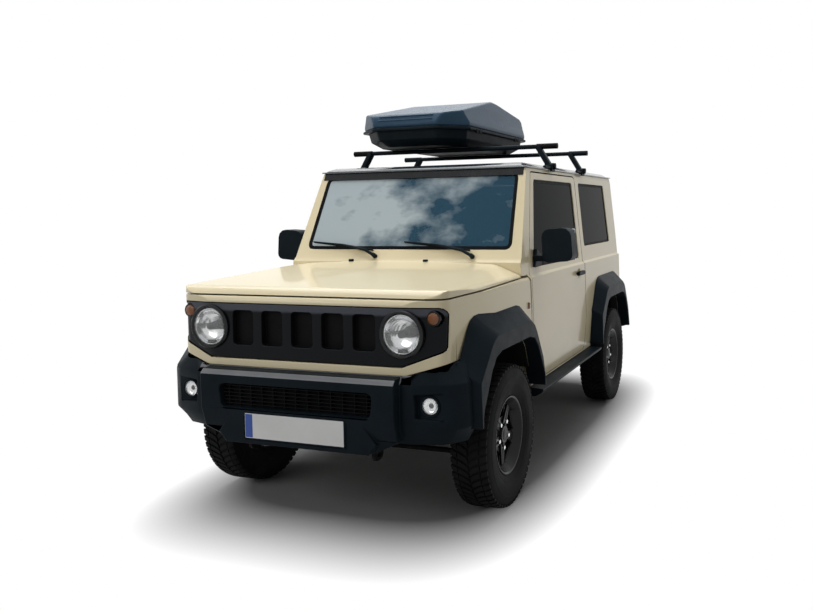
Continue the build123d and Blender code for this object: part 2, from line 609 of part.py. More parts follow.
ARM_Y, ARM_Z = AXLE_F - 140, AXLE_Z - 34  # the steering arms' tips
SPINDLE_R, SPINDLE_GAP = 22, 0.5


def knuckle():
    """The left steering knuckle: its pin barrel, flange, spindle, steering arm and brake caliper."""
    x1 = FLANGE_X["front"]
    piece = rod((PIN_X, AXLE_F, AXLE_Z - EAR_Z + 1), (PIN_X, AXLE_F, AXLE_Z + EAR_Z - 1), 25, 0)
    piece += rod((PIN_X, AXLE_F, AXLE_Z), (x1 - 14, AXLE_F, AXLE_Z), 40)
    piece += rod((x1 - 14, AXLE_F, AXLE_Z), (x1, AXLE_F, AXLE_Z), 64)
    piece += rod((x1, AXLE_F, AXLE_Z), (x1 + 40, AXLE_F, AXLE_Z), SPINDLE_R, 0)
    arm = [(PIN_X - 14, ARM_Y - 14, 13, 2), (PIN_X + 14, ARM_Y - 14, 13, 2), (x1 - 14, AXLE_F - 20), (PIN_X + 6, AXLE_F - 10)]
    piece += prism("z", arm, ARM_Z - 9, ARM_Z + 9)
    piece += block(x1 - 14, x1, AXLE_F + 50, AXLE_F + 140, AXLE_Z - 30, AXLE_Z + 50)
    return piece


def tie_rod():
    """The bar between the two steering arms, under them, with a joint at each end."""
    z = ARM_Z - 24
    bar = rod((-PIN_X, ARM_Y, z), (PIN_X, ARM_Y, z), 13)
    for x in (-PIN_X, PIN_X):
        bar += rod((x, ARM_Y, z - 10), (x, ARM_Y, z + 14), 15, 0)
    return bar


WHEEL_SIDES = 40


def wheel_rim(side, x, y):
    """A wheel rim with its disc, five windows, hub and brake disc; side is 1 for left and -1 for right."""
    rim = ringed([(-75, 189.5), (75, 189.5)], WHEEL_SIDES)
    rim -= ringed([(-80, 172), (6, 172)], WHEEL_SIDES)
    rim -= ringed([(30, 150), (75.5, 180)], WHEEL_SIDES)
    window = prism("x", [(-40, 84), (-62, 144), (62, 144), (40, 84)], -100, 100)
    for i in range(5):
        rim -= Rot(360 / 5 * i, 0, 0) * window
    rim += ringed([(-42, 62), (8, 62)], 20)
    rim += ringed([(-34, 140), (-22, 140)], WHEEL_SIDES)
    rim += ringed([(28, 46), (52, 42)], 20)
    rim -= rod((-50, 0, 0), (4, 0, 0), SPINDLE_R + SPINDLE_GAP, 0)
    if side < 0:
        rim = other_side(rim)
    return Pos(x * side, y, AXLE_Z) * rim


def tyre(centre, axis="x"):
    """A tyre without its tread pattern: rounded shoulders, and sidewalls that draw in to the beads."""
    wide, crown = TYRE_W / 2, 78
    outside = [(-wide, 276), (-wide + 5, 322), (-crown, TYRE_R), (crown, TYRE_R), (wide - 5, 322), (wide, 276)]
    inside = [(-wide - 0.5, 266), (-70, 190), (70, 190), (wide + 0.5, 266)]
    return ringed(outside, WHEEL_SIDES, centre, axis) - ringed(inside, WHEEL_SIDES, centre, axis)


def spare_cover():
    """The rigid cover over the spare wheel's face, with the hub that holds it to the carrier."""
    return ringed([(-60, 189.7), (78, 189.7), (86, 165)], WHEEL_SIDES, (SPARE_X, SPARE_Y, SPARE_Z), "y")


def springs_and_dampers():
    springs, dampers = [], []
    for y, top in ((AXLE_F, FRONT_SPRING_TOP), (AXLE_R, REAR_SPRING_TOP)):
        low = AXLE_Z + 44
        springs += both_sides(post(SPRING_X, y, low, top, SPRING_R))
    for y, high in ((AXLE_F + 92, FRONT_SPRING_TOP), (AXLE_R + 92, REAR_SPRING_TOP)):
        dampers += both_sides(post(455, y, AXLE_Z - 20, high, 24, 12))
    return springs, dampers


def axle_links():
    """Leading arms to the front axle, trailing arms to the rear axle and a cross bar behind each."""
    links = []
    for y, way in ((AXLE_F, 1), (AXLE_R, -1)):
        arm = rod((400, y + way * 40, AXLE_Z - 6), (400, y + way * 560, 400), 20)
        links += both_sides(arm)
    return links


def exhaust():
    """Pipe along the right-hand rail to a silencer behind the rear axle."""
    path = [(-262, -900, 396), (-262, 900, 396), (-262, 1020, 446), (-262, 1170, 446), (-430, 1262, 420),
            (-430, 1300, 420)]
    pipe = rod(path[0], path[1], 22)
    for start, end in zip(path[1:], path[2:]):
        pipe += rod(start, end, 22)
        pipe += post(*start[:2], start[2] - 20, start[2] + 20, 24, 12)
    pipe += rod((-430, 1290, 414), (-430, 1490, 414), 58, 16)
    return pipe + rod((-430, 1485, 402), (-430, 1630, 402), 22)


def engine():
    block_form = block(-240, 240, -1500, -960, 560, 980)
    return block_form - block(-240, -150, -1500, -960, 560, 700) - block(150, 240, -1180, -960, 560, 700)


def gearbox():
    case = prism("z", [(-180, -958), (-110, -640, 60, 2), (-110, -160), (110, -160), (110, -640, 60, 2), (180, -958)],
                 440, 592)
    return case + block(-130, 130, -165, 60, 372, 540)


def propshafts():
    front = rod((-95, -100, 404), (DIFF_FRONT_X, AXLE_F + 60, AXLE_Z + 6), 24)
    rear = rod((20, 0, 410), (DIFF_REAR_X, AXLE_R - 60, AXLE_Z + 6), 28)
    case = gearbox()
    return [front - case - front_axle(), rear - case - rear_axle()]


# Cabin

SEAT_X, SEAT_W = 340, 460
SEAT_SIDE = [(-190, 632, 30, 2), (-200, 752, 45, 2), (180, 712), (330, 1210, 40, 2), (430, 1190, 40, 2),
             (300, 650, 50, 2), (240, 632, 30, 2)]
BENCH_SIDE = [(800, 600, 20, 1), (790, 745, 40, 2), (1130, 720), (1250, 1160, 40, 2), (1340, 1140, 40, 2),
              (1240, 640, 40, 2), (1200, 600, 20, 1)]
WHEEL_PLACE, WHEEL_TILT, WHEEL_R = (335, -262, 1010), 24, 185


def front_seats():
    seat = prism("x", SEAT_SIDE, SEAT_X - SEAT_W / 2, SEAT_X + SEAT_W / 2)
    head = [(322, 1225, 30, 2), (340, 1400, 40, 2), (425, 1395, 40, 2), (412, 1225, 30, 2)]
    seat += prism("x", head, SEAT_X - 120, SEAT_X + 120)
    seat += block(SEAT_X - 30, SEAT_X + 30, 350, 395, 1180, 1240)
    seat += block(SEAT_X - 130, SEAT_X + 190, -120, 230, FLOOR_Z + FLOOR_T, 640)
    return both_sides(seat)


def rear_bench():
    return prism("x", BENCH_SIDE, -530, 530)


def dashboard():
    """The dashboard across the cabin, with the steering column under its hood."""
    side = [(-652, 840), (-652, 1040), (-640, 1130), (-420, 1130, 50, 3), (-372, 1060, 40, 2), (-400, 840, 60, 2)]
    dash = prism("x", side, -646, 646)
    hood = [(-480, 1100), (-470, 1180, 30, 2), (-400, 1180, 30, 2), (-380, 1060)]
    dash += prism("x", hood, SEAT_X - 190, SEAT_X + 190)
    x, y, z = WHEEL_PLACE
    run = 160
    dash += rod((x, y - run * cos(radians(WHEEL_TILT)), z - run * sin(radians(WHEEL_TILT))),
                (x, y - 30 * cos(radians(WHEEL_TILT)), z - 30 * sin(radians(WHEEL_TILT))), 34)
    return dash


def steering_wheel():
    ring = ringed([(-14, WHEEL_R - 6), (0, WHEEL_R), (14, WHEEL_R - 6)], 28)
    ring -= ringed([(-15, WHEEL_R - 24), (15, WHEEL_R - 24)], 28)
    ring += ringed([(-22, 60), (16, 52)], 16)
    for angle in (0, 180, 270):
        ring += Rot(angle, 0, 0) * block(-10, 6, 50, WHEEL_R - 10, -20, 20)
    return Pos(*WHEEL_PLACE) * Rot(WHEEL_TILT, 0, 0) * Rot(0, 0, 90) * ring


# Roof load carrier

def roof_bars():
    """Two cross bars, each on a slanting leg and a clamp at both drip rails."""
    bars = []
    for y in BAR_Y:
        bar = rod((-BAR_HALF, y, BAR_Z), (BAR_HALF, y, BAR_Z), BAR_R, 16)
        leg = rod((588, y, BAR_Z), (664, y, 1712), 11, 8)
        leg += block(641, 680, y - 35, y + 35, 1697, 1722)
        leg += block(HALF_ROOF + 5, 684, y - 35, y + 35, 1680, 1722)
        leg += rod((684, y, 1706), (700, y, 1706), 13)
        bars.append(bar + leg + other_side(leg))
    return bars


BOX_NOSE, BOX_TAIL, BOX_SHOULDER = 155, 85, 1992  # how far the cut corners reach, and where the lid turns in
BOX_PLAN = [(BOX_X0, BOX_Y0 + BOX_NOSE), (BOX_X0 + BOX_NOSE, BOX_Y0, 40, 1), (BOX_X1 - BOX_NOSE, BOX_Y0, 40, 1),
            (BOX_X1, BOX_Y0 + BOX_NOSE), (BOX_X1, BOX_Y1 - BOX_TAIL, 60, 2), (BOX_X1 - BOX_TAIL, BOX_Y1),
            (BOX_X0 + BOX_TAIL, BOX_Y1), (BOX_X0, BOX_Y1 - BOX_TAIL, 60, 2)]
# The lid rises in one facet to a crest above the rear bar, and its sides lean in
BOX_SIDE = [(BOX_Y0, BOX_SEAM_Z), (BOX_Y0 + 4, BOX_SHOULDER), (BOX_Y0 + 32, 2046, 24, 1), (340, BOX_TOP_Z, 200, 2),
            (BOX_Y1 - 36, 2116, 50, 1), (BOX_Y1, 2000), (BOX_Y1, BOX_SEAM_Z)]
BOX_FRONT = [(BOX_X0, BOX_SEAM_Z), (BOX_X0, BOX_SHOULDER), (BOX_X0 + 22, 2040), (BOX_X0 + 72, BOX_TOP_Z + 4, 30, 1),
             (BOX_X1 - 72, BOX_TOP_Z + 4, 30, 1), (BOX_X1 - 22, 2040), (BOX_X1, BOX_SHOULDER), (BOX_X1, BOX_SEAM_Z)]
BOX_SKIN, BOX_LIP = 12, 16


def box_ring(z, inset):
    """The corners of the box's plan at a height, shrunk about its middle so that its sides move in by an inset."""
    middle_x, half_x = (BOX_X0 + BOX_X1) / 2, (BOX_X1 - BOX_X0) / 2
    middle_y, half_y = (BOX_Y0 + BOX_Y1) / 2, (BOX_Y1 - BOX_Y0) / 2
    return [Vector(middle_x + (p.X - middle_x) * (1 - inset / half_x),
                   middle_y + (p.Y - middle_y) * (1 - inset / half_y), z) for p in corner_points(BOX_PLAN)]


def lid_form(inset):
    """The outside of the box's lid as a closed form, drawn in by an inset."""
    form = prism("z", BOX_PLAN, BOX_SEAM_Z - 60, BOX_TOP_Z + 10, -inset)
    form = form & prism("x", [(BOX_Y0, 1900)] + BOX_SIDE[1:-1] + [(BOX_Y1, 1900)], -700, 300, -inset)
    return form & prism("y", [(BOX_X0, 1900)] + BOX_FRONT[1:-1] + [(BOX_X1, 1900)], -500, 1000, -inset)


def roof_box_lid():
    """The faceted lid, a shell open downwards."""
    return (lid_form(0) - lid_form(BOX_SKIN)) & block(-900, 900, -900, 1200, BOX_SEAM_Z + 3, 2300)


def roof_box_base():
    """The tray, with the lip that the lid shuts on."""
    tray = skin([box_ring(BOX_LOW_Z, 95), box_ring(BOX_LOW_Z + 40, 34), box_ring(BOX_SEAM_Z - BOX_LIP, 22)])
    tray += prism("z", BOX_PLAN, BOX_SEAM_Z - BOX_LIP, BOX_SEAM_Z, 8)
    return tray - skin([box_ring(BOX_LOW_Z + 12, 104), box_ring(BOX_LOW_Z + 44, 46), box_ring(BOX_SEAM_Z + 1, 34)])


WIPER_PIVOT_X, BLADE = (-175, 429), 430


def wipers(cabin):
    """Two arms with their blades, parked along the lower edge of the windscreen."""
    arms = []
    for x in WIPER_PIVOT_X:
        foot = (x, screen_y(1190) - 12, 1196)
        elbow = (x - 120, screen_y(1240) - 16, 1240)
        arm = rod(foot, elbow, 7, 6)
        arm += rod((x + 20 - BLADE, screen_y(1272) - 10, 1272), (x - 20, screen_y(1222) - 10, 1222), 7, 6)
        arm += rod((x, -768, 1172), (x, -785, 1199), 13, 8)
        arms.append(arm - cabin)
    return arms


def fuel_tank():
    return prism("y", mirrored([(0, 330), (262, 330, 40, 2), (262, 470, 30, 2), (0, 470)]), 1240, 1500)


def arch_liners():
    """The front wheel housings, open below and round each spring tower."""
    wall_x, t = 396, 12
    liner = arch_cutter(AXLE_F, t, wall_x, 730) - arch_cutter(AXLE_F, 0, wall_x + t, 900)
    liner -= block(0, 900, -1700, -600, 200, 560)
    liner -= block(0, SPRING_X + 70, AXLE_F - 75, AXLE_F + 135, 200, 670)
    return both_sides(liner & nose_form(27))


def build():
    parts = {}
    cabin = cabin_form()
    nose = nose_form()
    flares = arch_flares(cabin, nose)
    springs, dampers = springs_and_dampers()
    left_door, left_fittings = door(cabin), door_fittings()
    left_glass = side_glass(DOOR_WINDOW)
    quarter = side_glass(QUARTER_WINDOW)
    left_knuckle = knuckle()

    shell = hollow_cabin(cabin)
    floor = body_floor(shell)
    wings = front_wings(nose)
    parts["body_shell"] = body_shell(shell, floor, wings)
    parts["body_floor"] = floor
    parts["front_wings"] = wings
    parts["roof_panel"] = roof_panel()
    parts["windscreen"] = windscreen()
    parts["quarter_windows"] = both_sides(quarter)
    parts["grille"] = grille()
    parts["headlamps"] = lamp(HEADLAMP, 60, 24)
    parts["turn_lamps"] = lamp(TURN_LAMP, 30, 8)
    parts["fog_lamps"] = lamp(FOG_LAMP, 12, 8)
    parts["front_bumper"] = front_bumper(nose, flares)
    parts["rear_bumper"] = rear_bumper(flares)
    parts["rear_lamps"] = rear_lamps()
    parts["arch_flares"] = flares
    parts["arch_liners"] = arch_liners()
    parts["side_sills"] = side_sills()
    parts["wipers"] = wipers(cabin)
    parts["chassis_rails"] = chassis_rails()
    parts["crossmembers"] = crossmembers()
    parts["tow_eyes"] = tow_eyes()
    parts["engine"] = engine()
    parts["gearbox"] = gearbox()
    parts["propshafts"] = propshafts()
    parts["front_axle"] = front_axle()
    parts["rear_axle"] = rear_axle()
    parts["coil_springs"] = springs
    parts["dampers"] = dampers
    parts["axle_links"] = axle_links()
    parts["exhaust"] = exhaust()
    parts["fuel_tank"] = fuel_tank()
    parts["dashboard"] = dashboard()
    parts["front_seats"] = front_seats()
    parts["rear_bench"] = rear_bench()
    parts["roof_bars"] = roof_bars()
    parts["roof_box_base"] = roof_box_base()
    parts["roof_box_lid"] = roof_box_lid()
    parts["bonnet"] = bonnet(nose)
    parts["door_left"] = left_door
    parts["door_right"] = other_side(left_door)
    parts["door_glass_left"] = left_glass
    parts["door_glass_right"] = other_side(left_glass)
    parts["door_fittings_left"] = left_fittings
    parts["door_fittings_right"] = [other_side(solid) for solid in left_fittings]
    parts["tailgate"] = tailgate(cabin)
    parts["tailgate_glass"] = tailgate_glass()
    parts["spare_tyre"] = tyre((SPARE_X, SPARE_Y, SPARE_Z), "y")
    parts["spare_cover"] = spare_cover()
    parts["knuckle_left"] = left_knuckle
    parts["knuckle_right"] = other_side(left_knuckle)
    parts["tie_rod"] = tie_rod()
    parts["steering_wheel"] = steering_wheel()
    for end, x, y in (("front", TRACK_FRONT / 2, AXLE_F), ("rear", TRACK_REAR / 2, AXLE_R)):
        for name, side in (("left", 1), ("right", -1)):
            parts[f"rim_{end}_{name}"] = wheel_rim(side, x, y)
            parts[f"tyre_{end}_{name}"] = tyre((side * x, y, AXLE_Z))
    return parts


def write(parts):
    """One STEP file for each piece, named after it."""
    os.makedirs("parts", exist_ok=True)
    for name, shape in parts.items():
        if isinstance(shape, list):
            solids = [solid for piece in shape for solid in piece.solids()]
        else:
            solids = list(shape.solids())
        whole = solids[0] if len(solids) == 1 else Compound(children=solids)
        export_step(whole, f"parts/{name}.step")
        print(name, len(solids), "solids,", round(sum(s.volume for s in solids) / 1e6, 2), "litres")


write(build())
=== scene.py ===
"""The looks of a compact off-road car with a box on its roof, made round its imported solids.

The nose points towards -Y, the car's left-hand side towards +X, and the floor is at Z = 0.
Sizes are in metres.
"""

import json
from math import cos, pi, radians, sin

import bmesh
import bpy
from mathutils import Matrix, Vector


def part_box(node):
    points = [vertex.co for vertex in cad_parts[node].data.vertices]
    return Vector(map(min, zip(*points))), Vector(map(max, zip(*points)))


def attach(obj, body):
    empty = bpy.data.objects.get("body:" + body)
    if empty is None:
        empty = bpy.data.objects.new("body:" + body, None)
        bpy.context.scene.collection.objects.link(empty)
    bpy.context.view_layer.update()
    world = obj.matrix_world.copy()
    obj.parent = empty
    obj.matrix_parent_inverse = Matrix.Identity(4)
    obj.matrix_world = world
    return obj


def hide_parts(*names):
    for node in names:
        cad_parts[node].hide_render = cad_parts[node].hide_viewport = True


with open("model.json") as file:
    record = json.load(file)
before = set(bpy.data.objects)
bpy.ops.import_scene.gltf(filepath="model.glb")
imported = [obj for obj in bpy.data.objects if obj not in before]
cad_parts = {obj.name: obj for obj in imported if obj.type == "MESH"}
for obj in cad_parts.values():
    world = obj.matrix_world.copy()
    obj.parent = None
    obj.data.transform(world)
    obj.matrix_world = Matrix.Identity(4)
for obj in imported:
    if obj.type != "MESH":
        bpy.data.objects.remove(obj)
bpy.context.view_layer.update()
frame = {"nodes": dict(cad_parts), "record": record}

record = frame["record"]
BODY_OF = {node: body for body, nodes in record["behaviour"]["bodies"].items() for node in nodes}
SIDES = {"left": 1, "right": -1}
AXLES_Y, AXLE_Z = (-1.1525, 1.0975), 0.3465
FRONT_TRACK, REAR_TRACK = 1.395, 1.405
SHARP = 38  # degrees; a sharper edge is bevelled and stays an edge
WHITE = (1.0, 1.0, 1.0)
NO_TURN = Matrix.Identity(4)

# Materials


class Value:
    """The output of a node. Sums and products with it add Math nodes."""

    def __init__(self, nodes, socket):
        self.nodes, self.socket = nodes, socket

    def math(self, operation, first, second):
        return self.nodes.node("Math", {"operation": operation}, {0: first, 1: second})

    def __add__(self, other):
        return self.math("ADD", self, other)

    def __sub__(self, other):
        return self.math("SUBTRACT", self, other)

    def __rsub__(self, other):
        return self.math("SUBTRACT", other, self)

    def __mul__(self, other):
        return self.math("MULTIPLY", self, other)

    __radd__, __rmul__ = __add__, __mul__


class Nodes:
    """The nodes of a finish or of the world."""

    def __init__(self, tree):
        self.tree = tree

    def join(self, socket, value):
        if isinstance(value, Value):
            self.tree.links.new(value.socket, socket)
        elif socket.type == "RGBA":
            socket.default_value = (*value, 1.0)
        else:
            socket.default_value = value

    def node(self, kind, settings=None, inputs=None, out=0):
        """Adds a node: its settings first, then its inputs by name or number. Gives one output."""
        node = self.tree.nodes.new("ShaderNode" + kind)
        for name, value in (settings or {}).items():
            setattr(node, name, value)
        for name, value in (inputs or {}).items():
            self.join(node.inputs[name], value)
        return Value(self, node.outputs[out])

    def span(self, value, low, high, to_low=0.0, to_high=1.0):
        """Maps a value's range to another range, and holds it there beyond both ends."""
        return self.node("MapRange", {"clamp": True}, {0: value, 1: low, 2: high, 3: to_low, 4: to_high})

    def seen(self):
        """1 where the camera, a reflection or a see-through pane looks, and 0 for the light itself."""
        kinds = ("Camera", "Glossy", "Transmission")
        camera_ray, glossy, through = (self.node("LightPath", out=f"Is {kind} Ray") for kind in kinds)
        return camera_ray + glossy + through


class Finish(Nodes):
    """A material with one Principled shader: constants on its own sockets, patterns through nodes."""

    def __init__(self, name, shine=0.5, **constants):
        self.material = bpy.data.materials.new(name)
        self.material.use_nodes = True
        super().__init__(self.material.node_tree)
        self.shader = self.tree.nodes["Principled BSDF"]
        for socket, value in {"Specular_IOR_Level": shine, **constants}.items():
            self.set(socket, value)
        self.place = self.node("TexCoord", out="Object")

    def set(self, socket, value):
        """Sets one of the shader's sockets, named with _ for its spaces, to a constant or a value."""
        self.join(self.shader.inputs[socket.replace("_", " ")], value)

    def rough(self, value):
        self.set("Roughness", value)

    def noise(self, scale, detail=3.0, place=None):
        return self.node("TexNoise", {}, {"Vector": place or self.place, "Scale": scale, "Detail": detail})

    def patches(self, scale, low=0.0, high=1.0):
        """Soft patches of noise, each between two levels."""
        return self.span(self.noise(scale), 0.3, 0.7, low, high)

    def cells(self, scale):
        return self.node("TexVoronoi", {"feature": "F1"}, {"Vector": self.place, "Scale": scale})

    def waves(self, scale, direction, distortion=0.0):
        return self.node("TexWave", {"wave_type": "BANDS", "bands_direction": direction},
                         {"Vector": self.place, "Scale": scale, "Distortion": distortion}, out=1)

    def axis(self, name):
        """One coordinate of the place on the car."""
        return self.node("SeparateXYZ", {}, {0: self.place}, out=name)

    def from_axle(self, axle):
        """The square of the distance from an axle's line."""
        back, up = self.axis("Y") - axle, self.axis("Z") - AXLE_Z
        return back * back + up * up

    def mix(self, mask, first, second):
        """One colour where the mask is 0, the other where it is 1."""
        return self.node("Mix", {"data_type": "RGBA"}, {0: mask, 6: first, 7: second}, out=2)

    def colour(self, mask, first, second):
        self.set("Base_Color", self.mix(mask, first, second))

    def stretched(self, x, y, z):
        """The place, with each direction's pattern made finer by a factor."""
        return self.node("Mapping", {"vector_type": "POINT"}, {0: self.place, 3: (x, y, z)})

    def bump(self, height, distance, strength=1.0):
        normal = self.node("Bump", {}, {"Height": height, "Distance": distance, "Strength": strength})
        self.set("Normal", normal)


def shade(colour, share):
    return tuple(part * share for part in colour)


def mottled(name, dark, light, rough, grain, scale=6.0, depth=0.0002, shine=0.5, **constants):
    """A finish with patchy colour, uneven gloss and a fine grain, the base of most surfaces."""
    finish = Finish(name, shine, **constants)
    finish.colour(finish.patches(scale), dark, light)
    finish.rough(finish.patches(scale * 3, *rough))
    finish.bump(finish.noise(grain, 2.0), depth)
    return finish


FILM_TOP, FILM_FULL = 0.75, 0.42  # heights between which road film thins out
ARCH_DARK_FULL, ARCH_DARK_END = 0.235, 0.245  # squares of the distances from an axle where the paint turns near black in the wheel arches


def ivory():
    """Cream paint under a clear coat, with a trace of road film low down, turning near black in the wheel
    arches.
    """
    finish = Finish("ivory_paint", Coat_Weight=0.35, Coat_Roughness=0.04, Coat_IOR=1.5, shine=0.2)
    paint = finish.mix(finish.patches(2.0), (0.79, 0.69, 0.455), (0.81, 0.71, 0.475))
    low = finish.span(finish.axis("Z"), FILM_FULL, FILM_TOP, 1.0, 0.0)
    film = low * finish.span(finish.noise(9.0, 5.0), 0.35, 0.8) * 0.25
    body = finish.mix(film, paint, (0.42, 0.38, 0.3))
    front, rear = (finish.span(finish.from_axle(axle), ARCH_DARK_FULL, ARCH_DARK_END, 1.0, 0.0) for axle in AXLES_Y)
    finish.colour(front + rear, body, shade(WHITE, 0.01))
    finish.rough(finish.span(film, 0.0, 0.4, 0.3, 0.5))
    finish.bump(finish.noise(260.0, 1.0), 0.00003)
    return finish


def cloth():
    """Woven seat cloth, from two crossing waves."""
    finish = Finish("seat_cloth", Sheen_Weight=0.25, Roughness=0.9)
    weave = finish.waves(160.0, "X", 0.6) * finish.waves(160.0, "Z", 0.6)
    finish.colour(weave, (0.012, 0.012, 0.013), (0.035, 0.035, 0.038))
    finish.bump(weave, 0.0006)
    return finish


def pane(name, tint_with_painted_light, alpha, painted_reflection_colour, low, shine):
    """Glass with painted reflections: a see-through film of colour with drifting patches of painted sky and
    cloud reflection in it, more of them towards -X.
    """
    finish = Finish(name, shine, IOR=1.5)
    # Painted reflection: patches of pale sky colour, less see-through, more of them towards the car's right.
    sky = finish.noise(2.6, 7.0, finish.stretched(1.0, 1.0, 1.6)) - 0.28 * finish.axis("X")
    painted_reflection_mask = finish.span(sky, low, low + 0.17)
    finish.colour(painted_reflection_mask, tint_with_painted_light, painted_reflection_colour)
    finish.rough(finish.patches(30.0, 0.015, 0.04))
    finish.set("Alpha", finish.span(painted_reflection_mask, 0.0, 1.0, *alpha))
    return finish


def lens(name, colour, flutes, alpha):
    """A moulded clear or coloured lens with fine ribs, thin enough to see the lamp's bowl through."""
    finish = Finish(name, IOR=1.46)
    ribs = finish.waves(flutes, "X")
    finish.colour(ribs, colour, shade(colour, 0.9))
    finish.rough(finish.patches(40.0, 0.02, 0.06))
    finish.set("Alpha", finish.span(ribs, 0.0, 1.0, alpha, alpha + 0.14))
    finish.bump(ribs, 0.0012, 0.5)
    return finish


def metal(name, colour, rough, scratch=40.0):
    """Bare metal with brush marks and patchy gloss."""
    finish = Finish(name, Metallic=1.0)
    marks = finish.noise(scratch, 4.0, finish.stretched(1.0, 8.0, 1.0))
    finish.colour(marks, shade(colour, 0.8), colour)
    finish.rough(finish.span(marks, 0.3, 0.7, *rough))
    finish.bump(marks, 0.0001)
    return finish


def exhaust_steel():
    """Steel pipe, straw and blue from the heat near the engine, rusty at the welds."""
    finish = Finish("exhaust_steel", Metallic=0.9)
    heat = finish.span(finish.axis("Y"), -0.9, 0.4, 1.0, 0.0)
    rust = finish.span(finish.noise(14.0, 6.0), 0.52, 0.66)
    steel = finish.mix(heat, (0.3, 0.29, 0.28), (0.34, 0.24, 0.16))
    finish.colour(rust, steel, (0.16, 0.07, 0.03))
    finish.rough(finish.span(rust, 0.0, 1.0, 0.35, 0.8))
    finish.bump(finish.noise(90.0, 5.0), 0.0003)
    return finish


def rubber():
    """Tyre rubber, greyed here and there by dust, with a fine moulded grain."""
    finish = Finish("tyre_rubber", shine=0.06)
    dust = finish.span(finish.noise(11.0, 6.0), 0.42, 0.75)
    finish.colour(dust, (0.007, 0.0072, 0.0076), (0.021, 0.021, 0.021))
    finish.rough(finish.span(dust, 0.0, 1.0, 0.62, 0.85))
    finish.bump(finish.noise(420.0, 3.0), 0.0003)
    return finish


def box_shell():
    """Dark grey plastic of the roof box, whose blue base colour and blue specular tint are a painted sky
    reflection: satin, with a fine pressed grain.
    """
    # The blue in the colour and in the specular tint is a painted sky reflection.
    finish = Finish("roof_box_shell", shine=0.08, Specular_Tint=(0.75, 0.88, 1.0))
    finish.colour(finish.patches(3.0), (0.028, 0.06, 0.102), (0.036, 0.073, 0.12))
    finish.rough(finish.patches(25.0, 0.2, 0.28))
    finish.bump(finish.cells(700.0), 0.0001)
    return finish


def grille_black():
    """Gloss black whose upper edge is a paler grey: a painted reflection of the sky."""
    finish = Finish("grille_black", shine=0.09)
    # The paler band along the grille's top is a painted sky reflection.
    band = finish.span(finish.axis("Z") + 0.004 * finish.noise(40.0), 0.996, 1.008)
    dark = finish.mix(finish.noise(5.0), (0.0045, 0.0055, 0.007), (0.007, 0.0085, 0.0105))
    finish.colour(band, dark, (0.085, 0.092, 0.11))
    finish.rough(finish.patches(18.0, 0.2, 0.28))
    finish.bump(finish.noise(220.0, 2.0), 0.00004)
    return finish


IVORY = ivory()
# Black roof paint, lifted above plain black and tinted blue: a painted sky reflection.
ROOF_BLACK = mottled("black_paint", (0.018, 0.029, 0.038), (0.024, 0.038, 0.05), (0.1, 0.16), 260.0,
                     depth=0.00003, Coat_Weight=0.6, Coat_Roughness=0.03)
GRILLE_BLACK = grille_black()
# A lighter grey for the front bumper's upper chamfer: a painted highlight, not the plastic's own colour.
BUMPER_PAINTED_HIGHLIGHT = mottled("bumper_painted_highlight", (0.13, 0.135, 0.145), (0.18, 0.185, 0.195), (0.28, 0.36), 500.0,
                     depth=0.0001, shine=0.4)
GLOSS_BLACK = mottled("gloss_black", (0.0045, 0.005, 0.006), (0.007, 0.008, 0.01), (0.2, 0.3), 220.0,
                      depth=0.00005, shine=0.25)
PLASTIC = mottled("black_plastic", (0.008, 0.0125, 0.0165), (0.012, 0.018, 0.0235), (0.33, 0.42), 900.0,
                  shine=0.03)
TRIM = mottled("cabin_trim", (0.01, 0.01, 0.011), (0.018, 0.018, 0.02), (0.6, 0.8), 700.0, depth=0.0004,
               shine=0.1)
UNDERBODY = mottled("chassis_black", (0.006, 0.006, 0.006), (0.016, 0.015, 0.014), (0.5, 0.8), 60.0, 9.0,
                    0.0004, shine=0.06)
# Near-black rubber; it also stands as painted shade inside the grille's slots and at the back of the bumper's
# air opening.
SEAL_AND_SHADE_BLACK = mottled("rubber_seal_and_painted_shade", (0.0035, 0.0035, 0.004), (0.007, 0.007, 0.008), (0.5, 0.65), 500.0,
               shine=0.05)
RIM_BLACK = mottled("rim_black", (0.0045, 0.0048, 0.0052), (0.0075, 0.008, 0.0085), (0.25, 0.36), 300.0,
                    depth=0.00006, shine=0.2)
CAST = mottled("cast_alloy", (0.2, 0.2, 0.2), (0.32, 0.32, 0.31), (0.45, 0.65), 150.0, 12.0, 0.0005,
               Metallic=0.7)
BOX_SHELL = box_shell()
CLOTH = cloth()
RUBBER = rubber()
EXHAUST = exhaust_steel()
STEEL = metal("damper_steel", (0.5, 0.5, 0.51), (0.25, 0.4))
DISC_STEEL = metal("brake_steel", (0.36, 0.35, 0.34), (0.3, 0.45), 90.0)
CHROME = metal("bright_reflector", (0.93, 0.94, 0.95), (0.12, 0.2), 12.0)
MIRROR = metal("mirror_silver", (0.8, 0.83, 0.85), (0.01, 0.02), 5.0)
# The windscreen's blue is a painted sky reflection, and its pale patches are painted cloud reflections.
SCREEN = pane("screen_glass", (0.016, 0.072, 0.125), (0.8, 0.93), (0.46, 0.54, 0.58), 0.44, 0.2)
# Side glass: a dark tint made near black and nearly opaque, painted shade of the cabin behind, with faint
# painted reflection patches.
SIDE_GLASS = pane("side_glass", (0.004, 0.006, 0.006), (0.965, 0.9), (0.045, 0.052, 0.05), 0.56, 0.01)
CLEAR = lens("lamp_glass", (0.9, 0.92, 0.92), 55.0, 0.1)
AMBER = lens("amber_lens", (0.3, 0.095, 0.018), 80.0, 0.8)
RED = lens("red_lens", (0.42, 0.008, 0.008), 70.0, 0.84)
PLATE = mottled("plate_white", (0.7, 0.7, 0.69), (0.78, 0.78, 0.77), (0.3, 0.4), 500.0, depth=0.00005)
PLATE_BLUE = mottled("plate_blue", (0.01, 0.055, 0.3), (0.012, 0.065, 0.34), (0.3, 0.4), 500.0,
                     depth=0.00005)

# Making pieces


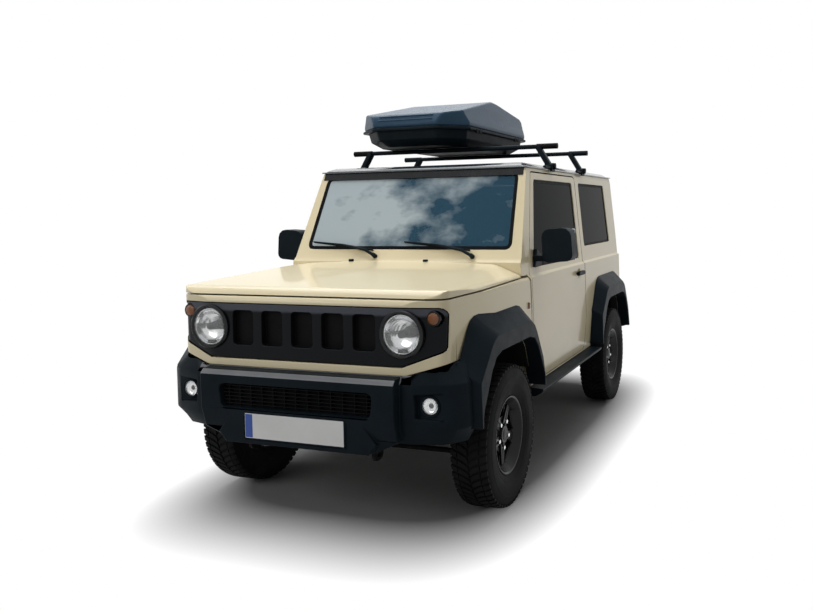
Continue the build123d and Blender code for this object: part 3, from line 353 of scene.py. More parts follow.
def add_object(name, form, finishes):
    """Turns a form into an object of the scene."""
    mesh = bpy.data.meshes.new(name)
    form.to_mesh(mesh)
    form.free()
    for finish in finishes:
        mesh.materials.append(finish.material)
    thing = bpy.data.objects.new(name, mesh)
    bpy.context.scene.collection.objects.link(thing)
    return thing


def fit(name, form, finish, like, instead=False, body=None, sharp=SHARP, new=True):
    """Turns a form into a piece with its finish or finishes.

    It gets the body of the node that it is like, or another body, and may stand
    in the node's stead.
    """
    if new:
        bmesh.ops.remove_doubles(form, verts=form.verts, dist=1e-6)
        bmesh.ops.recalc_face_normals(form, faces=form.faces)
    piece = add_object(name, form, finish if isinstance(finish, list) else [finish])
    piece.data.polygons.foreach_set("use_smooth", [True] * len(piece.data.polygons))
    piece.data.set_sharp_from_angle(angle=radians(sharp))
    weights = piece.modifiers.new("flat faces stay flat", "WEIGHTED_NORMAL")
    weights.keep_sharp = True
    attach(piece, body or BODY_OF[like])
    if instead:
        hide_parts(like)
    return piece


def fit_pair(name, form, finish, like, instead=False):
    """Adds the form's mirror image across the middle of the car, and fits both as one piece."""
    bmesh.ops.mirror(form, geom=form.verts[:] + form.edges[:] + form.faces[:], axis="X", merge_dist=-1)
    fit(name, form, finish, like, instead)


def fit_doors(name, form, finish, like):
    """Fits a piece to the left door, and its mirror image to the right door."""
    other = form.copy()
    bmesh.ops.scale(other, vec=(-1, 1, 1), verts=other.verts)
    for side, half in (("left", form), ("right", other)):
        fit(f"{name}_{side}", half, finish, f"{like}_{side}")


def edges_of(verts):
    return list({edge for vert in verts for edge in vert.link_edges})


def bevel(form, edges, width, segments=2):
    bmesh.ops.bevel(form, geom=edges, offset=width, affect="EDGES", segments=segments, profile=0.5,
                    material=-1)


def shift(form, place):
    bmesh.ops.transform(form, matrix=place, verts=form.verts)


def add_form(form, part, place=NO_TURN):
    """Moves a part's geometry to its place in another form."""
    shift(part, place)
    mesh = bpy.data.meshes.new("part")
    part.to_mesh(mesh)
    part.free()
    form.from_mesh(mesh)
    bpy.data.meshes.remove(mesh)


def turn_of(share, axis="X"):
    """A turn about an axis, by a share of the full circle."""
    return Matrix.Rotation(2 * pi * share, 4, axis)


def node_form(node):
    """A copy of a node's mesh, with its triangles joined into whole faces."""
    form = bmesh.new()
    form.from_mesh(frame["nodes"][node].data)
    bmesh.ops.remove_doubles(form, verts=form.verts, dist=2e-5)
    bmesh.ops.dissolve_limit(form, angle_limit=radians(0.6), verts=form.verts, edges=form.edges)
    return form


def dress(node, finish, width=0.002, choose=None):
    """Replaces a node with a copy of it that has softened edges and its finish or finishes.

    choose gives the number of a face's finish by its middle and its normal.
    """
    form = node_form(node)
    if choose:
        for face in form.faces:
            face.material_index = choose(face.calc_center_median(), face.normal)
    inner = (edge for edge in form.edges if len(edge.link_faces) == 2)
    bevel(form, [edge for edge in inner if edge.calc_face_angle(0) > radians(SHARP)], width)
    return fit(node + "_surface", form, finish, node, instead=True, new=False)


def mark_creases(mesh):
    """Keeps the long slight edges of a panel, such as a pressed crease, as edges."""
    form = bmesh.new()
    form.from_mesh(mesh)
    for edge in form.edges:
        if len(edge.link_faces) == 2 and edge.calc_length() > 0.05:
            if radians(3) < edge.calc_face_angle(0) < radians(14):
                edge.smooth = False
    form.to_mesh(mesh)
    form.free()


def repaint(node, finish):
    """Gives a node that keeps its own shape its finish."""
    mesh = frame["nodes"][node].data
    mesh.materials.clear()
    mesh.materials.append(finish.material)


AXES = {"x": (Vector((1, 0, 0)), Vector((0, 0, 1))), "y": (Vector((0, 1, 0)), Vector((0, 0, 1))),
        "z": (Vector((0, 0, 1)), Vector((1, 0, 0)))}


def lathe(form, profile, axis="x", centre=(0, 0, 0), steps=48, closed=False):
    """Turns a line of (along, radius) points about an axis through centre."""
    along, out = AXES[axis]
    centre = Vector(centre)
    verts = [form.verts.new(centre + along * a + out * r) for a, r in profile]
    ends = verts[1:] + verts[:1] if closed else verts[1:]
    edges = [form.edges.new(pair) for pair in zip(verts, ends)]
    bmesh.ops.spin(form, geom=verts + edges, cent=centre, axis=along, dvec=(0, 0, 0), angle=2 * pi,
                   steps=steps, use_merge=True, use_duplicate=False)


def bar(form, start, end, radius, end_radius=None, sides=16):
    """A round bar between two points."""
    start, end = Vector(start), Vector(end)
    turn = (end - start).to_track_quat("Z", "Y").to_matrix().to_4x4()
    bmesh.ops.create_cone(form, cap_ends=True, segments=sides, radius1=radius,
                          radius2=radius if end_radius is None else end_radius, depth=(end - start).length,
                          matrix=Matrix.Translation((start + end) / 2) @ turn)


def cap(form, foot, radius, tall):
    """A round cap with a rounded edge, standing on its foot."""
    profile = [(0, 0), (0, radius), (tall * 0.7, radius), (tall, radius * 0.8), (tall, 0)]
    lathe(form, profile, "z", foot, 28)


def slab(form, low, high, width=0.0, segments=2, turn=NO_TURN):
    """A box between two corners with rounded edges, turned about its middle."""
    low, high = Vector(low), Vector(high)
    place = Matrix.Translation((low + high) / 2) @ turn @ Matrix.Diagonal((*(high - low), 1))
    verts = bmesh.ops.create_cube(form, size=1, matrix=place)["verts"]
    if width:
        bevel(form, edges_of(verts), width, segments)


def slabs(*boxes):
    """A form of boxes, each given by two corners, the width of its edges and their segments."""
    form = bmesh.new()
    for box in boxes:
        slab(form, *box)
    return form


def row(form, count, step, low, high, width=0.0):
    """A row of equal boxes, each a step from the last."""
    for i in range(count):
        move = Vector(step) * i
        slab(form, Vector(low) + move, Vector(high) + move, width)


SEAL_LIFT, SEAL_THICKNESS = 0.0022, 0.0015


def looks_out(face, outward):
    """Whether a pane's large face looks outwards, on either side of the car."""
    facing = abs(face.normal.x * outward.x) + face.normal.y * outward.y > 0.5
    outer = outward.x == 0 or face.normal.x * face.calc_center_median().x > 0
    return facing and outer and face.calc_area() > 0.05


def border(name, node, width, outward):
    """A rubber seal round a pane's edge, just proud of its outer face."""
    form = node_form(node)
    faces = [face for face in form.faces if looks_out(face, Vector(outward))]
    bmesh.ops.delete(form, geom=[face for face in form.faces if face not in faces], context="FACES")
    bmesh.ops.inset_region(form, faces=faces, thickness=width, depth=0.0, use_even_offset=True,
                           use_boundary=True)
    bmesh.ops.delete(form, geom=faces, context="FACES")
    form.normal_update()
    lifts = [(vert, vert.link_faces[0].normal * SEAL_LIFT) for vert in form.verts]
    for vert, lift in lifts:
        vert.co += lift
    bmesh.ops.solidify(form, geom=form.faces[:], thickness=SEAL_THICKNESS)
    fit(name, form, SEAL_AND_SHADE_BLACK, node)


# Painted body, glass and plastic. Each _face function gives the number of a face's finish.

ARCH_REACH = 0.58  # from an axle's line to the furthest lining of its arch


def inward(middle, normal):
    """Whether a face of the body's side looks into the cabin."""
    return normal.x * middle.x < -0.25 * abs(middle.x) and abs(middle.x) > 0.5


def in_arch(middle, normal):
    """Whether a face lines a wheel arch."""
    near = any((middle.y - axle) ** 2 + (middle.z - AXLE_Z) ** 2 < ARCH_REACH ** 2 for axle in AXLES_Y)
    return near and (abs(normal.x) < 0.6 or abs(middle.x) < 0.7)


def shell_face(middle, normal):
    inside = abs(middle.x) < 0.7 and -0.66 < middle.y < 1.53
    ceiling = inside and normal.z < -0.5 and middle.z > 1.4
    wall = inside and middle.z < 1.2 and abs(normal.y) > 0.5
    return int(in_arch(middle, normal) or inward(middle, normal) or ceiling or wall)


def door_face(middle, normal):
    return int(inward(middle, normal))


def tailgate_face(middle, normal):
    return int(normal.y < -0.5 and middle.y < 1.54)


def wing_face(middle, normal):
    lining = in_arch(middle, normal) or inward(middle, normal)
    return int(lining or normal.y > 0.5 or normal.z < -0.4)


def bonnet_face(middle, normal):
    return int(normal.z < -0.3)


def grille_face(middle, normal):
    """The slots are painted near black inside, down to the ledge at their foot: painted shade."""
    slot = abs(middle.x) < 0.38 and 0.843 < middle.z < 1.001 and -1.738 < middle.y < -1.7
    return int(slot and normal.y < 0.5)


def bumper_face(middle, normal):
    """The upper edge is a lighter grey, a painted highlight; the air opening is near black at its back, a
    painted shade.
    """
    # Painted highlight: the upper chamfer gets the lighter grey.
    if normal.z > 0.5 and normal.y < -0.5 and abs(middle.x) < 0.51:
        return 1
    # The back of the air opening is painted near black: painted shade in the recess.
    back = abs(middle.x) < 0.4 and -1.79 < middle.y < -1.77 and middle.z > 0.55
    return 2 if back and normal.y < -0.9 else 0


def rim_face(middle, normal):
    """The brake disc behind the spokes is bare steel."""
    across = abs(middle.x) - (FRONT_TRACK if middle.y < 0 else REAR_TRACK) / 2
    return int(-0.036 < across < -0.021)


def body_panels():
    for node, choose in (("body_shell", shell_face), ("door_left", door_face), ("door_right", door_face)):
        mark_creases(dress(node, [IVORY, TRIM], 0.003, choose).data)
    dress("front_wings", [IVORY, UNDERBODY], 0.003, wing_face)
    dress("bonnet", [IVORY, UNDERBODY], 0.004, bonnet_face)
    dress("tailgate", [IVORY, TRIM], 0.003, tailgate_face)
    dress("roof_panel", ROOF_BLACK, 0.004)
    # The grille's second finish, inside its slots, is painted shade.
    dress("grille", [GRILLE_BLACK, SEAL_AND_SHADE_BLACK], 0.0035, grille_face)
    dress("front_bumper", [PLASTIC, BUMPER_PAINTED_HIGHLIGHT, SEAL_AND_SHADE_BLACK], 0.006, bumper_face)
    dress("roof_box_lid", BOX_SHELL, 0.012)
    for node, width in (("rear_bumper", 0.006), ("arch_flares", 0.005), ("side_sills", 0.004),
                        ("roof_box_base", 0.004), ("roof_bars", 0.0015), ("door_fittings_left", 0.005),
                        ("door_fittings_right", 0.005), ("spare_cover", 0.003)):
        dress(node, PLASTIC, width)


def glazing():
    repaint("windscreen", SCREEN)
    for node in ("quarter_windows", "door_glass_left", "door_glass_right", "tailgate_glass"):
        repaint(node, SIDE_GLASS)
    border("windscreen_edge", "windscreen", 0.02, (0, -1, 0))
    border("tailgate_glass_edge", "tailgate_glass", 0.022, (0, 1, 0))
    border("quarter_window_seals", "quarter_windows", 0.016, (1, 0, 0))
    for side in SIDES:
        border(f"door_glass_seal_{side}", f"door_glass_{side}", 0.018, (1, 0, 0))


def running_gear():
    for node in ("body_floor", "chassis_rails", "crossmembers", "tow_eyes", "front_axle", "rear_axle",
                 "axle_links", "arch_liners", "fuel_tank", "tie_rod", "propshafts", "knuckle_left",
                 "knuckle_right"):
        dress(node, UNDERBODY, 0.0015)
    dress("engine", CAST, 0.01)
    dress("gearbox", CAST, 0.01)
    dress("exhaust", EXHAUST, 0.002)


# Engine bay

FAN_MIDDLE = Vector((0, -1.59, 0.835))
FAN_BLADES = 7
HOSES = (  # the points that each hose passes, and its radius
    (((-0.345, -1.26, 0.945), (-0.22, -1.25, 0.965), (-0.115, -1.22, 0.975)), 0.036),
    (((-0.24, -1.62, 0.975), (-0.21, -1.53, 0.965), (-0.15, -1.47, 0.93)), 0.021),
    (((0.24, -1.62, 0.69), (0.2, -1.54, 0.69), (0.16, -1.49, 0.7)), 0.021),
    (((0.45, -1.29, 0.85), (0.34, -1.36, 0.86), (0.235, -1.42, 0.88)), 0.01),
    (((0.395, -0.905, 1.012), (0.3, -0.93, 0.98), (0.235, -1.02, 0.93)), 0.007))


def engine_top():
    """The ribbed valve cover with its oil cap and ignition coils."""
    cover = slabs(((-0.125, -1.45, 0.97), (0.125, -1.01, 1.016), 0.016, 3))
    for x in (-0.105, 0.045):
        row(cover, 8, (0, 0.054, 0), (x, -1.425, 1.01), (x + 0.06, -1.417, 1.023), 0.0025)
    for x in (-0.112, 0.112):
        for y in (-1.43, -1.3, -1.16, -1.03):
            bar(cover, (x, y, 1.0), (x, y, 1.021), 0.008, sides=6)
    fit("valve_cover", cover, CAST, "engine")
    plugs = bmesh.new()
    cap(plugs, (0, -1.05, 1.014), 0.03, 0.026)
    for i in range(4):
        y = -1.4 + i * 0.095
        cap(plugs, (0, y, 1.014), 0.019, 0.016)
        slab(plugs, (0.01, y - 0.01, 1.014), (0.05, y + 0.01, 1.028), 0.003)
    fit("ignition_coils", plugs, TRIM, "arch_liners")


def fan(form):
    """The radiator's fan: a cowl, slanting blades and a hub."""
    cowl = [(-0.022, 0.176), (-0.022, 0.186), (0.02, 0.186), (0.02, 0.176)]
    lathe(form, cowl, "y", FAN_MIDDLE, closed=True)
    slant = Matrix.Rotation(0.5, 4, "Z")
    for i in range(FAN_BLADES):
        blade = bmesh.new()
        slab(blade, (-0.022, -0.002, 0.03), (0.022, 0.002, 0.168), 0.0015, turn=slant)
        add_form(form, blade, Matrix.Translation(FAN_MIDDLE) @ turn_of(i / FAN_BLADES, "Y"))
    bar(form, FAN_MIDDLE + Vector((0, -0.022, 0)), FAN_MIDDLE + Vector((0, 0.03, 0)), 0.038, sides=24)


def bay_plastics():
    """The radiator's end pieces and fan, the battery, the air filter and the caps of both tanks."""
    form = slabs(((-0.335, -1.664, 0.985), (0.335, -1.618, 1.026), 0.008),
                 ((-0.335, -1.664, 0.64), (0.335, -1.618, 0.68), 0.008),
                 ((0.36, -1.06, 0.806), (0.59, -0.88, 0.965), 0.006),
                 ((0.36, -1.06, 0.968), (0.59, -0.88, 1.0), 0.006),
                 ((-0.62, -1.42, 0.806), (-0.34, -1.14, 0.905), 0.012),
                 ((-0.61, -1.41, 0.908), (-0.35, -1.15, 0.985), 0.022, 3))
    fan(form)
    cap(form, (0.45, -1.345, 0.948), 0.026, 0.026)
    cap(form, (0.37, -0.825, 1.033), 0.022, 0.018)
    return form


def bay_metal():
    """The radiator's fins, the battery's posts and the brake servo."""
    form = bmesh.new()
    row(form, 60, (0.011, 0, 0), (-0.3257, -1.656, 0.676), (-0.3233, -1.626, 0.99))
    for x in (0.395, 0.555):
        bar(form, (x, -0.905, 0.998), (x, -0.905, 1.018), 0.01, 0.009)
    servo = [(-0.7, 0), (-0.7, 0.112), (-0.735, 0.118), (-0.77, 0.104), (-0.79, 0.045),
             (-0.85, 0.03), (-0.85, 0)]
    lathe(form, servo, "y", (0.37, 0, 0.945), 40)
    return form


def hoses():
    form = bmesh.new()
    for points, radius in HOSES:
        for start, end in zip(points, points[1:]):
            bar(form, start, end, radius, sides=14)
            bmesh.ops.create_uvsphere(form, u_segments=14, v_segments=8, radius=radius,
                                      matrix=Matrix.Translation(start))
    return form


def engine_bay():
    engine_top()
    tanks = slabs(((0.4, -1.42, 0.806), (0.57, -1.27, 0.95), 0.018, 3),
                  ((0.345, -0.86, 0.972), (0.395, -0.79, 1.035), 0.01))
    for name, form, finish in (("bay_plastics", bay_plastics(), TRIM), ("bay_tanks", tanks, PLATE),
                               ("bay_metal", bay_metal(), CAST), ("bay_hoses", hoses(), SEAL_AND_SHADE_BLACK)):
        fit(name, form, finish, "engine")


def door_cards():
    """The doors' inner trim: armrest with a grip, map pocket, speaker grille and latch handle."""
    card = slabs(((0.628, -0.3, 0.862), (0.684, 0.225, 0.915), 0.016, 3),
                 ((0.652, -0.34, 0.545), (0.682, 0.24, 0.65), 0.012, 3),
                 ((0.668, -0.56, 0.69), (0.686, 0.4, 0.84), 0.006),
                 ((0.64, -0.13, 0.912), (0.672, 0.06, 0.99), 0.012, 3))
    speaker = [(0.682, 0), (0.664, 0), (0.662, 0.06), (0.657, 0.066), (0.657, 0.08), (0.682, 0.084)]
    lathe(card, speaker, "x", (0, -0.455, 0.605), 40)
    row(card, 7, (0, 0, 0.014), (0.658, -0.505, 0.5615), (0.664, -0.405, 0.5645), 0.001)
    fit_doors("door_card", card, TRIM, "door_fittings")
    handle = slabs(((0.66, -0.36, 0.972), (0.681, -0.25, 1.002), 0.005))
    fit_doors("door_latch_handle", handle, STEEL, "door_fittings")


def tailgate_card():
    """The tailgate's inner trim with its latch handle and pressed ribs."""
    form = slabs(((-0.52, 1.503, 0.66), (0.5, 1.517, 1.09), 0.005),
                 ((0.36, 1.492, 0.9), (0.45, 1.506, 0.96), 0.005))
    row(form, 5, (0, 0, 0.035), (-0.48, 1.499, 0.7), (0.3, 1.506, 0.71), 0.002)
    fit("tailgate_card", form, TRIM, "spare_cover")


# Lamps. Their forms are made for the left-hand side, and fit_pair adds the right-hand one.


def lamp_place(node):
    """The middle of the left lamp's front, and its radius."""
    low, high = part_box(node)
    radius = (high.z - low.z) / 2
    return Vector((high.x - radius, low.y, (low.z + high.z) / 2)), radius


def dome(radius, rise, points=7):
    """Half an arch from the axis to the rim of a lens, as (along, radius)."""
    turns = [i / (points - 1) * pi / 2 for i in range(points)]
    return [(rise * (1 - cos(turn)), radius * sin(turn)) for turn in turns]


def lens_form(centre, radius, rise, edge):
    """A domed shell 3 mm thick, closed round its rim."""
    form = bmesh.new()
    rim = [(rise + edge, radius), (rise + edge, radius * 0.97)]
    inner = [(along + 0.003, out * 0.97) for along, out in dome(radius, rise)]
    lathe(form, dome(radius, rise) + rim + inner[::-1], "y", centre)
    return form


def ring_form(centre, inner, outer, low, high, steps=48):
    """A rounded ring about the Y axis."""
    form = bmesh.new()
    soft = (outer - inner) * 0.3
    profile = [(high, inner), (low + soft, inner), (low, inner + soft), (low, outer - soft),
               (low + soft, outer), (high, outer)]
    lathe(form, profile, "y", centre, steps, closed=True)
    return form


def bowl_form(centre, radius, mouth, depth, neck):
    """A thin curved reflector, open at the front."""
    form = bmesh.new()
    turns = [i / 8 for i in range(9)]
    outside = [(mouth + depth * t, neck + (radius - neck) * (1 - t * t) ** 0.5) for t in turns]
    lathe(form, outside, "y", centre)
    bmesh.ops.recalc_face_normals(form, faces=form.faces)
    bmesh.ops.solidify(form, geom=form.faces[:], thickness=0.0015)
    return form


def bulb_cap(centre):
    """The cap over a headlamp's bulb, with its stays."""
    form = bmesh.new()
    bar(form, centre + Vector((0, 0.026, 0)), centre + Vector((0, 0.075, 0)), 0.016, 0.02, 24)
    for aside in (-0.045, 0.045):
        for tilt in (-0.012, 0.0, 0.012):
            foot = centre + Vector((aside + tilt, 0.034, -0.01))
            bar(form, foot, foot + Vector((0.006, 0.0, 0.02)), 0.0028, sides=8)
    for low, high, soft in (((-0.08, 0.045, -0.002), (0.08, 0.05, 0.002), 0.001),
                            ((-0.022, 0.034, -0.082), (0.022, 0.05, -0.066), 0.003)):
        slab(form, centre + Vector(low), centre + Vector(high), soft)
    return form


def headlamps():
    """Round lamps: a fluted dome over a bright bowl, with the bulb's cap and its stays inside."""
    centre, whole = lamp_place("headlamps")
    radius = whole * 0.89
    glass = lens_form(centre + Vector((0, 0.006, 0)), radius * 0.985, 0.02, 0.012)
    fit_pair("headlamp_lenses", glass, CLEAR, "headlamps", instead=True)
    fit_pair("headlamp_bowls", bowl_form(centre, radius * 0.95, 0.034, 0.045, 0.02), CHROME, "headlamps")
    bezel = ring_form(centre, radius * 0.99, whole * 1.07, 0.018, 0.04)
    fit_pair("headlamp_bezels", bezel, GLOSS_BLACK, "grille")
    rim = ring_form(centre, radius * 0.93, radius * 0.975, 0.03, 0.04)
    fit_pair("headlamp_rims", rim, CHROME, "headlamps")
    fit_pair("headlamp_bulb_caps", bulb_cap(centre), TRIM, "grille")


def turn_lamps():
    centre, whole = lamp_place("turn_lamps")
    centre += Vector((-0.006, 0.008, 0))
    radius = whole * 0.82
    glass = lens_form(centre + Vector((0, 0.004, 0)), radius * 0.97, 0.007, 0.014)
    fit_pair("turn_lenses", glass, AMBER, "turn_lamps", instead=True)
    fit_pair("turn_lamp_bowls", bowl_form(centre, radius * 0.9, 0.018, 0.016, 0.008), CHROME, "turn_lamps")
    ring = ring_form(centre, radius * 0.97, whole, 0.01, 0.026, 32)
    fit_pair("turn_lamp_rings", ring, GLOSS_BLACK, "grille")


def fog_lamps():
    centre, radius = lamp_place("fog_lamps")
    glass = lens_form(centre, radius * 0.96, 0.008, 0.006)
    fit_pair("fog_lenses", glass, CLEAR, "fog_lamps", instead=True)
    fit_pair("fog_lamp_bowls", bowl_form(centre, radius * 0.9, 0.011, 0.012, 0.012), CHROME, "fog_lamps")
    ring = ring_form(centre, radius * 0.97, radius * 1.22, 0.002, 0.016, 32)
    fit_pair("fog_lamp_rings", ring, PLASTIC, "front_bumper")


def rear_lamps():
    """A red stop lamp, a clear reversing lamp and an amber turn lamp in each housing."""
    low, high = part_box("rear_lamps")
    inner, outer = 0.524, high.x - 0.002
    for name, finish, like, start, end in (("rear_red_lenses", RED, "rear_lamps", 0, 0.5),
                                           ("rear_clear_lenses", CLEAR, "headlamps", 0.5, 0.72),
                                           ("rear_amber_lenses", AMBER, "turn_lamps", 0.72, 1)):
        near = inner + (outer - inner) * start + 0.001
        far = inner + (outer - inner) * end - 0.001
        form = slabs(((near, 1.64, low.z + 0.004), (far, high.y + 0.001, high.z - 0.004), 0.004))
        fit_pair(name, form, finish, like, like == "rear_lamps")
    back = slabs(((inner, 1.624, low.z + 0.001), (outer, 1.641, high.z - 0.001), 0.003))
    fit_pair("rear_lamp_backs", back, CHROME, "rear_lamps")


# Wheels, with their middle at the origin and their outer face towards +X until they are placed

TYRE_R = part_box("tyre_front_left")[1].z / 2
LUG_DEPTH = 0.0085
PITCHES = 58  # of the tread's pattern, round the tyre
SPOKES = 5
CARCASS = [(0.072, 0.1905), (0.08, 0.199), (0.0895, 0.228), (0.0935, 0.246), (0.0945, 0.2475),
           (0.0955, 0.262), (0.0968, 0.278), (0.0955, 0.298), (0.0905, 0.318), (0.083, 0.332),
           (0.07, TYRE_R - LUG_DEPTH), (0.03, TYRE_R - LUG_DEPTH + 0.0006)]


def crown(along):
    """The tread's radius at a distance from the tyre's middle."""
    past = max(0.0, abs(along) - 0.055)
    return TYRE_R - past * past * 6.5


def lug(form, side, start, end, lead, thick, twist):
    """One tread block: a slanting strip on the crown, drawn in towards the axle."""
    verts = bmesh.ops.create_grid(form, x_segments=5, y_segments=1, size=0.5)["verts"]
    for vert in verts:
        part = vert.co.x + 0.5
        along = start + (end - start) * part
        turn = (vert.co.y * thick + lead * part ** 0.75 + twist) / TYRE_R
        vert.co = Vector((side * along, crown(along) * sin(turn), crown(along) * cos(turn)))
    faces = list({face for vert in verts for face in vert.link_faces})
    deep = bmesh.ops.extrude_face_region(form, geom=faces)["geom"]
    for vert in deep:
        if isinstance(vert, bmesh.types.BMVert):
            shrink = 1 - (LUG_DEPTH + 0.001) / vert.co.yz.length
            vert.co = Vector((vert.co.x * 0.99, vert.co.y * shrink, vert.co.z * shrink))


def tread():
    """Both rows of slanting blocks, one pitch repeated round the tyre."""
    form = bmesh.new()
    pitch = 2 * pi * TYRE_R / PITCHES
    for side, twist in ((1, 0.0), (-1, pitch / 2)):
        lug(form, side, 0.004, 0.052, 0.03, pitch * 0.62, twist)
        lug(form, side, 0.057, 0.0885, 0.01, pitch * 0.66, twist + 0.03)
    bmesh.ops.spin(form, geom=form.verts[:] + form.edges[:] + form.faces[:], cent=(0, 0, 0), axis=(1, 0, 0),
                   dvec=(0, 0, 0), angle=2 * pi * (PITCHES - 1) / PITCHES, steps=PITCHES - 1, use_merge=False,
                   use_duplicate=True)
    return form


def tyre_form():
    """The carcass with its rim protectors and sidewall rings, and the tread on it."""
    form = tread()
    other = [(-along, radius) for along, radius in reversed(CARCASS)]
    lathe(form, CARCASS + other, steps=96, closed=True)
    for radius, out in ((0.288, 0.096), (0.222, 0.088)):
        for side in SIDES.values():
            ring = [(side * out, radius), (side * (out + 0.0012), radius + 0.002),
                    (side * (out - 0.0004), radius + 0.004)]
            lathe(form, ring, steps=96, closed=True)
    return form


def rim_form():
    """Spoke ribs, the rolled lip, the centre cap and the valve."""
    form = bmesh.new()
    for ring in ([(0.0745, 0.1795), (0.0775, 0.1835), (0.0775, 0.1885), (0.074, 0.189)],
                 [(0.03, 0.15), (0.033, 0.1505), (0.0335, 0.154), (0.031, 0.156)]):
        lathe(form, ring, steps=80, closed=True)
    for i in range(SPOKES):
        for lean in (-0.019, 0.019):
            rib = slabs(((0.022, -0.009, 0.048), (0.04, 0.009, 0.152), 0.0035))
            aside = Matrix.Translation((0, lean, 0)) @ Matrix.Rotation(lean * 4, 4, "X")
            add_form(form, rib, turn_of((i + 0.5) / SPOKES) @ aside)
    cap_line = [(0.03, 0), (0.056, 0), (0.056, 0.02), (0.053, 0.0285), (0.046, 0.031), (0.03, 0.031)]
    lathe(form, cap_line, steps=40)
    valve = Matrix.Rotation(radians(24), 4, "X") @ Vector((0.052, 0, 0.163))
    bar(form, valve, valve + Vector((0.022, 0, 0)), 0.0035, sides=10)
    return form


def nut_form():
    """A wheel nut in line with each spoke, on the hub's bolt circle."""
    form = bmesh.new()
    for i in range(SPOKES):
        foot, neck, tip = (turn_of((i + 0.5) / SPOKES) @ Vector((x, 0, 0.066)) for x in (0.03, 0.05, 0.053))
        bar(form, foot, neck, 0.0112, 0.0105, 6)
        bar(form, neck, tip, 0.0085, 0.004, 12)
    return form


def wheels():
    for end in ("front", "rear"):
        for side, sign in SIDES.items():
            tyre, rim = f"tyre_{end}_{side}", f"rim_{end}_{side}"
            low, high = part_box(tyre)
            place = Matrix.Translation((low + high) / 2) @ Matrix.Diagonal((sign, 1, 1, 1))
            for name, form, finish, like in ((f"{tyre}_tread", tyre_form(), RUBBER, tyre),
                                             (f"{rim}_spokes", rim_form(), RIM_BLACK, rim),
                                             (f"{rim}_nuts", nut_form(), CHROME, rim)):
                shift(form, place)
                fit(name, form, finish, like, like == tyre)
            dress(rim, [RIM_BLACK, DISC_STEEL], 0.003, rim_face)


def spare_wheel():
    """The spare tyre, with its face towards the back, and the rings of its cover."""
    low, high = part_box("spare_tyre")
    form = tyre_form()
    shift(form, Matrix.Translation((low + high) / 2) @ turn_of(0.25, "Z"))
    fit("spare_tyre_tread", form, RUBBER, "spare_tyre", instead=True)
    low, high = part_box("spare_cover")
    form = bmesh.new()
    for radius in (0.15, 0.095):
        ring = [(-0.004, radius), (-0.0005, radius + 0.004), (-0.0005, radius + 0.01),
                (-0.004, radius + 0.014)]
        lathe(form, ring, "y", ((low.x + high.x) / 2, high.y, (low.z + high.z) / 2), 64, closed=True)
    fit("spare_cover_rings", form, PLASTIC, "spare_cover")


# Springs and dampers

SPRING_X, DAMPER_X = 0.47, 0.455
REAR_TOP = 0.545  # the height of the rear springs' and dampers' upper ends


def coil_springs():
    """A steel helix on each spring seat."""
    form = bmesh.new()
    wire, coil, turns, steps = 0.0068, 0.047, 6, 24
    low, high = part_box("coil_springs")
    for y, top in ((low.y + 0.055, high.z), (high.y - 0.055, REAR_TOP)):
        rise = (top - low.z - 2 * wire) / turns
        centre = Vector((SPRING_X, y, low.z + wire))
        place = Matrix.Translation(centre + Vector((coil, 0, 0))) @ turn_of(0.25)
        verts = bmesh.ops.create_circle(form, cap_ends=False, segments=10, radius=wire, matrix=place)["verts"]
        bmesh.ops.spin(form, geom=verts + edges_of(verts), cent=centre, axis=(0, 0, 1),
                       dvec=(0, 0, rise / steps), angle=2 * pi * turns, steps=steps * turns, use_merge=False,
                       use_duplicate=False)
    ends = [edge for edge in form.edges if edge.is_boundary]
    bmesh.ops.holes_fill(form, edges=ends, sides=12)
    fit_pair("coil_spring_helices", form, UNDERBODY, "coil_springs", instead=True)


def dampers():
    """Telescopic dampers: a painted body below, a bright rod and a dust sleeve above."""
    low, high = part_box("dampers")
    bodies, rods, x = bmesh.new(), bmesh.new(), DAMPER_X
    for y, top in ((low.y + 0.024, high.z), (high.y - 0.024, REAR_TOP)):
        split = low.z + (top - low.z) * 0.5
        bar(bodies, (x, y, low.z + 0.002), (x, y, split), 0.021, sides=24)
        bar(bodies, (x, y, split + 0.02), (x, y, top - 0.004), 0.0235, sides=24)
        bar(rods, (x, y, split - 0.002), (x, y, split + 0.03), 0.009)
    fit_pair("damper_bodies", bodies, UNDERBODY, "dampers", instead=True)
    fit_pair("damper_rods", rods, STEEL, "dampers")


# Fittings outside

SCREEN_SLOPE = Vector((0, 0.212, 0.43)).normalized()
SCREEN_OUT = Vector((0, -SCREEN_SLOPE.z, SCREEN_SLOPE.y))
SCREEN_LOW = Vector((0, -0.742, 1.23))
WIPER_PIVOTS = (-0.175, 0.429)
BLADE = 0.43  # a wiper blade's length


def on_screen(x, up, out):
    """A point near the windscreen: across, up its slope from its lower edge, and out from it."""
    return Vector((x, 0, 0)) + SCREEN_LOW + SCREEN_SLOPE * up + SCREEN_OUT * out


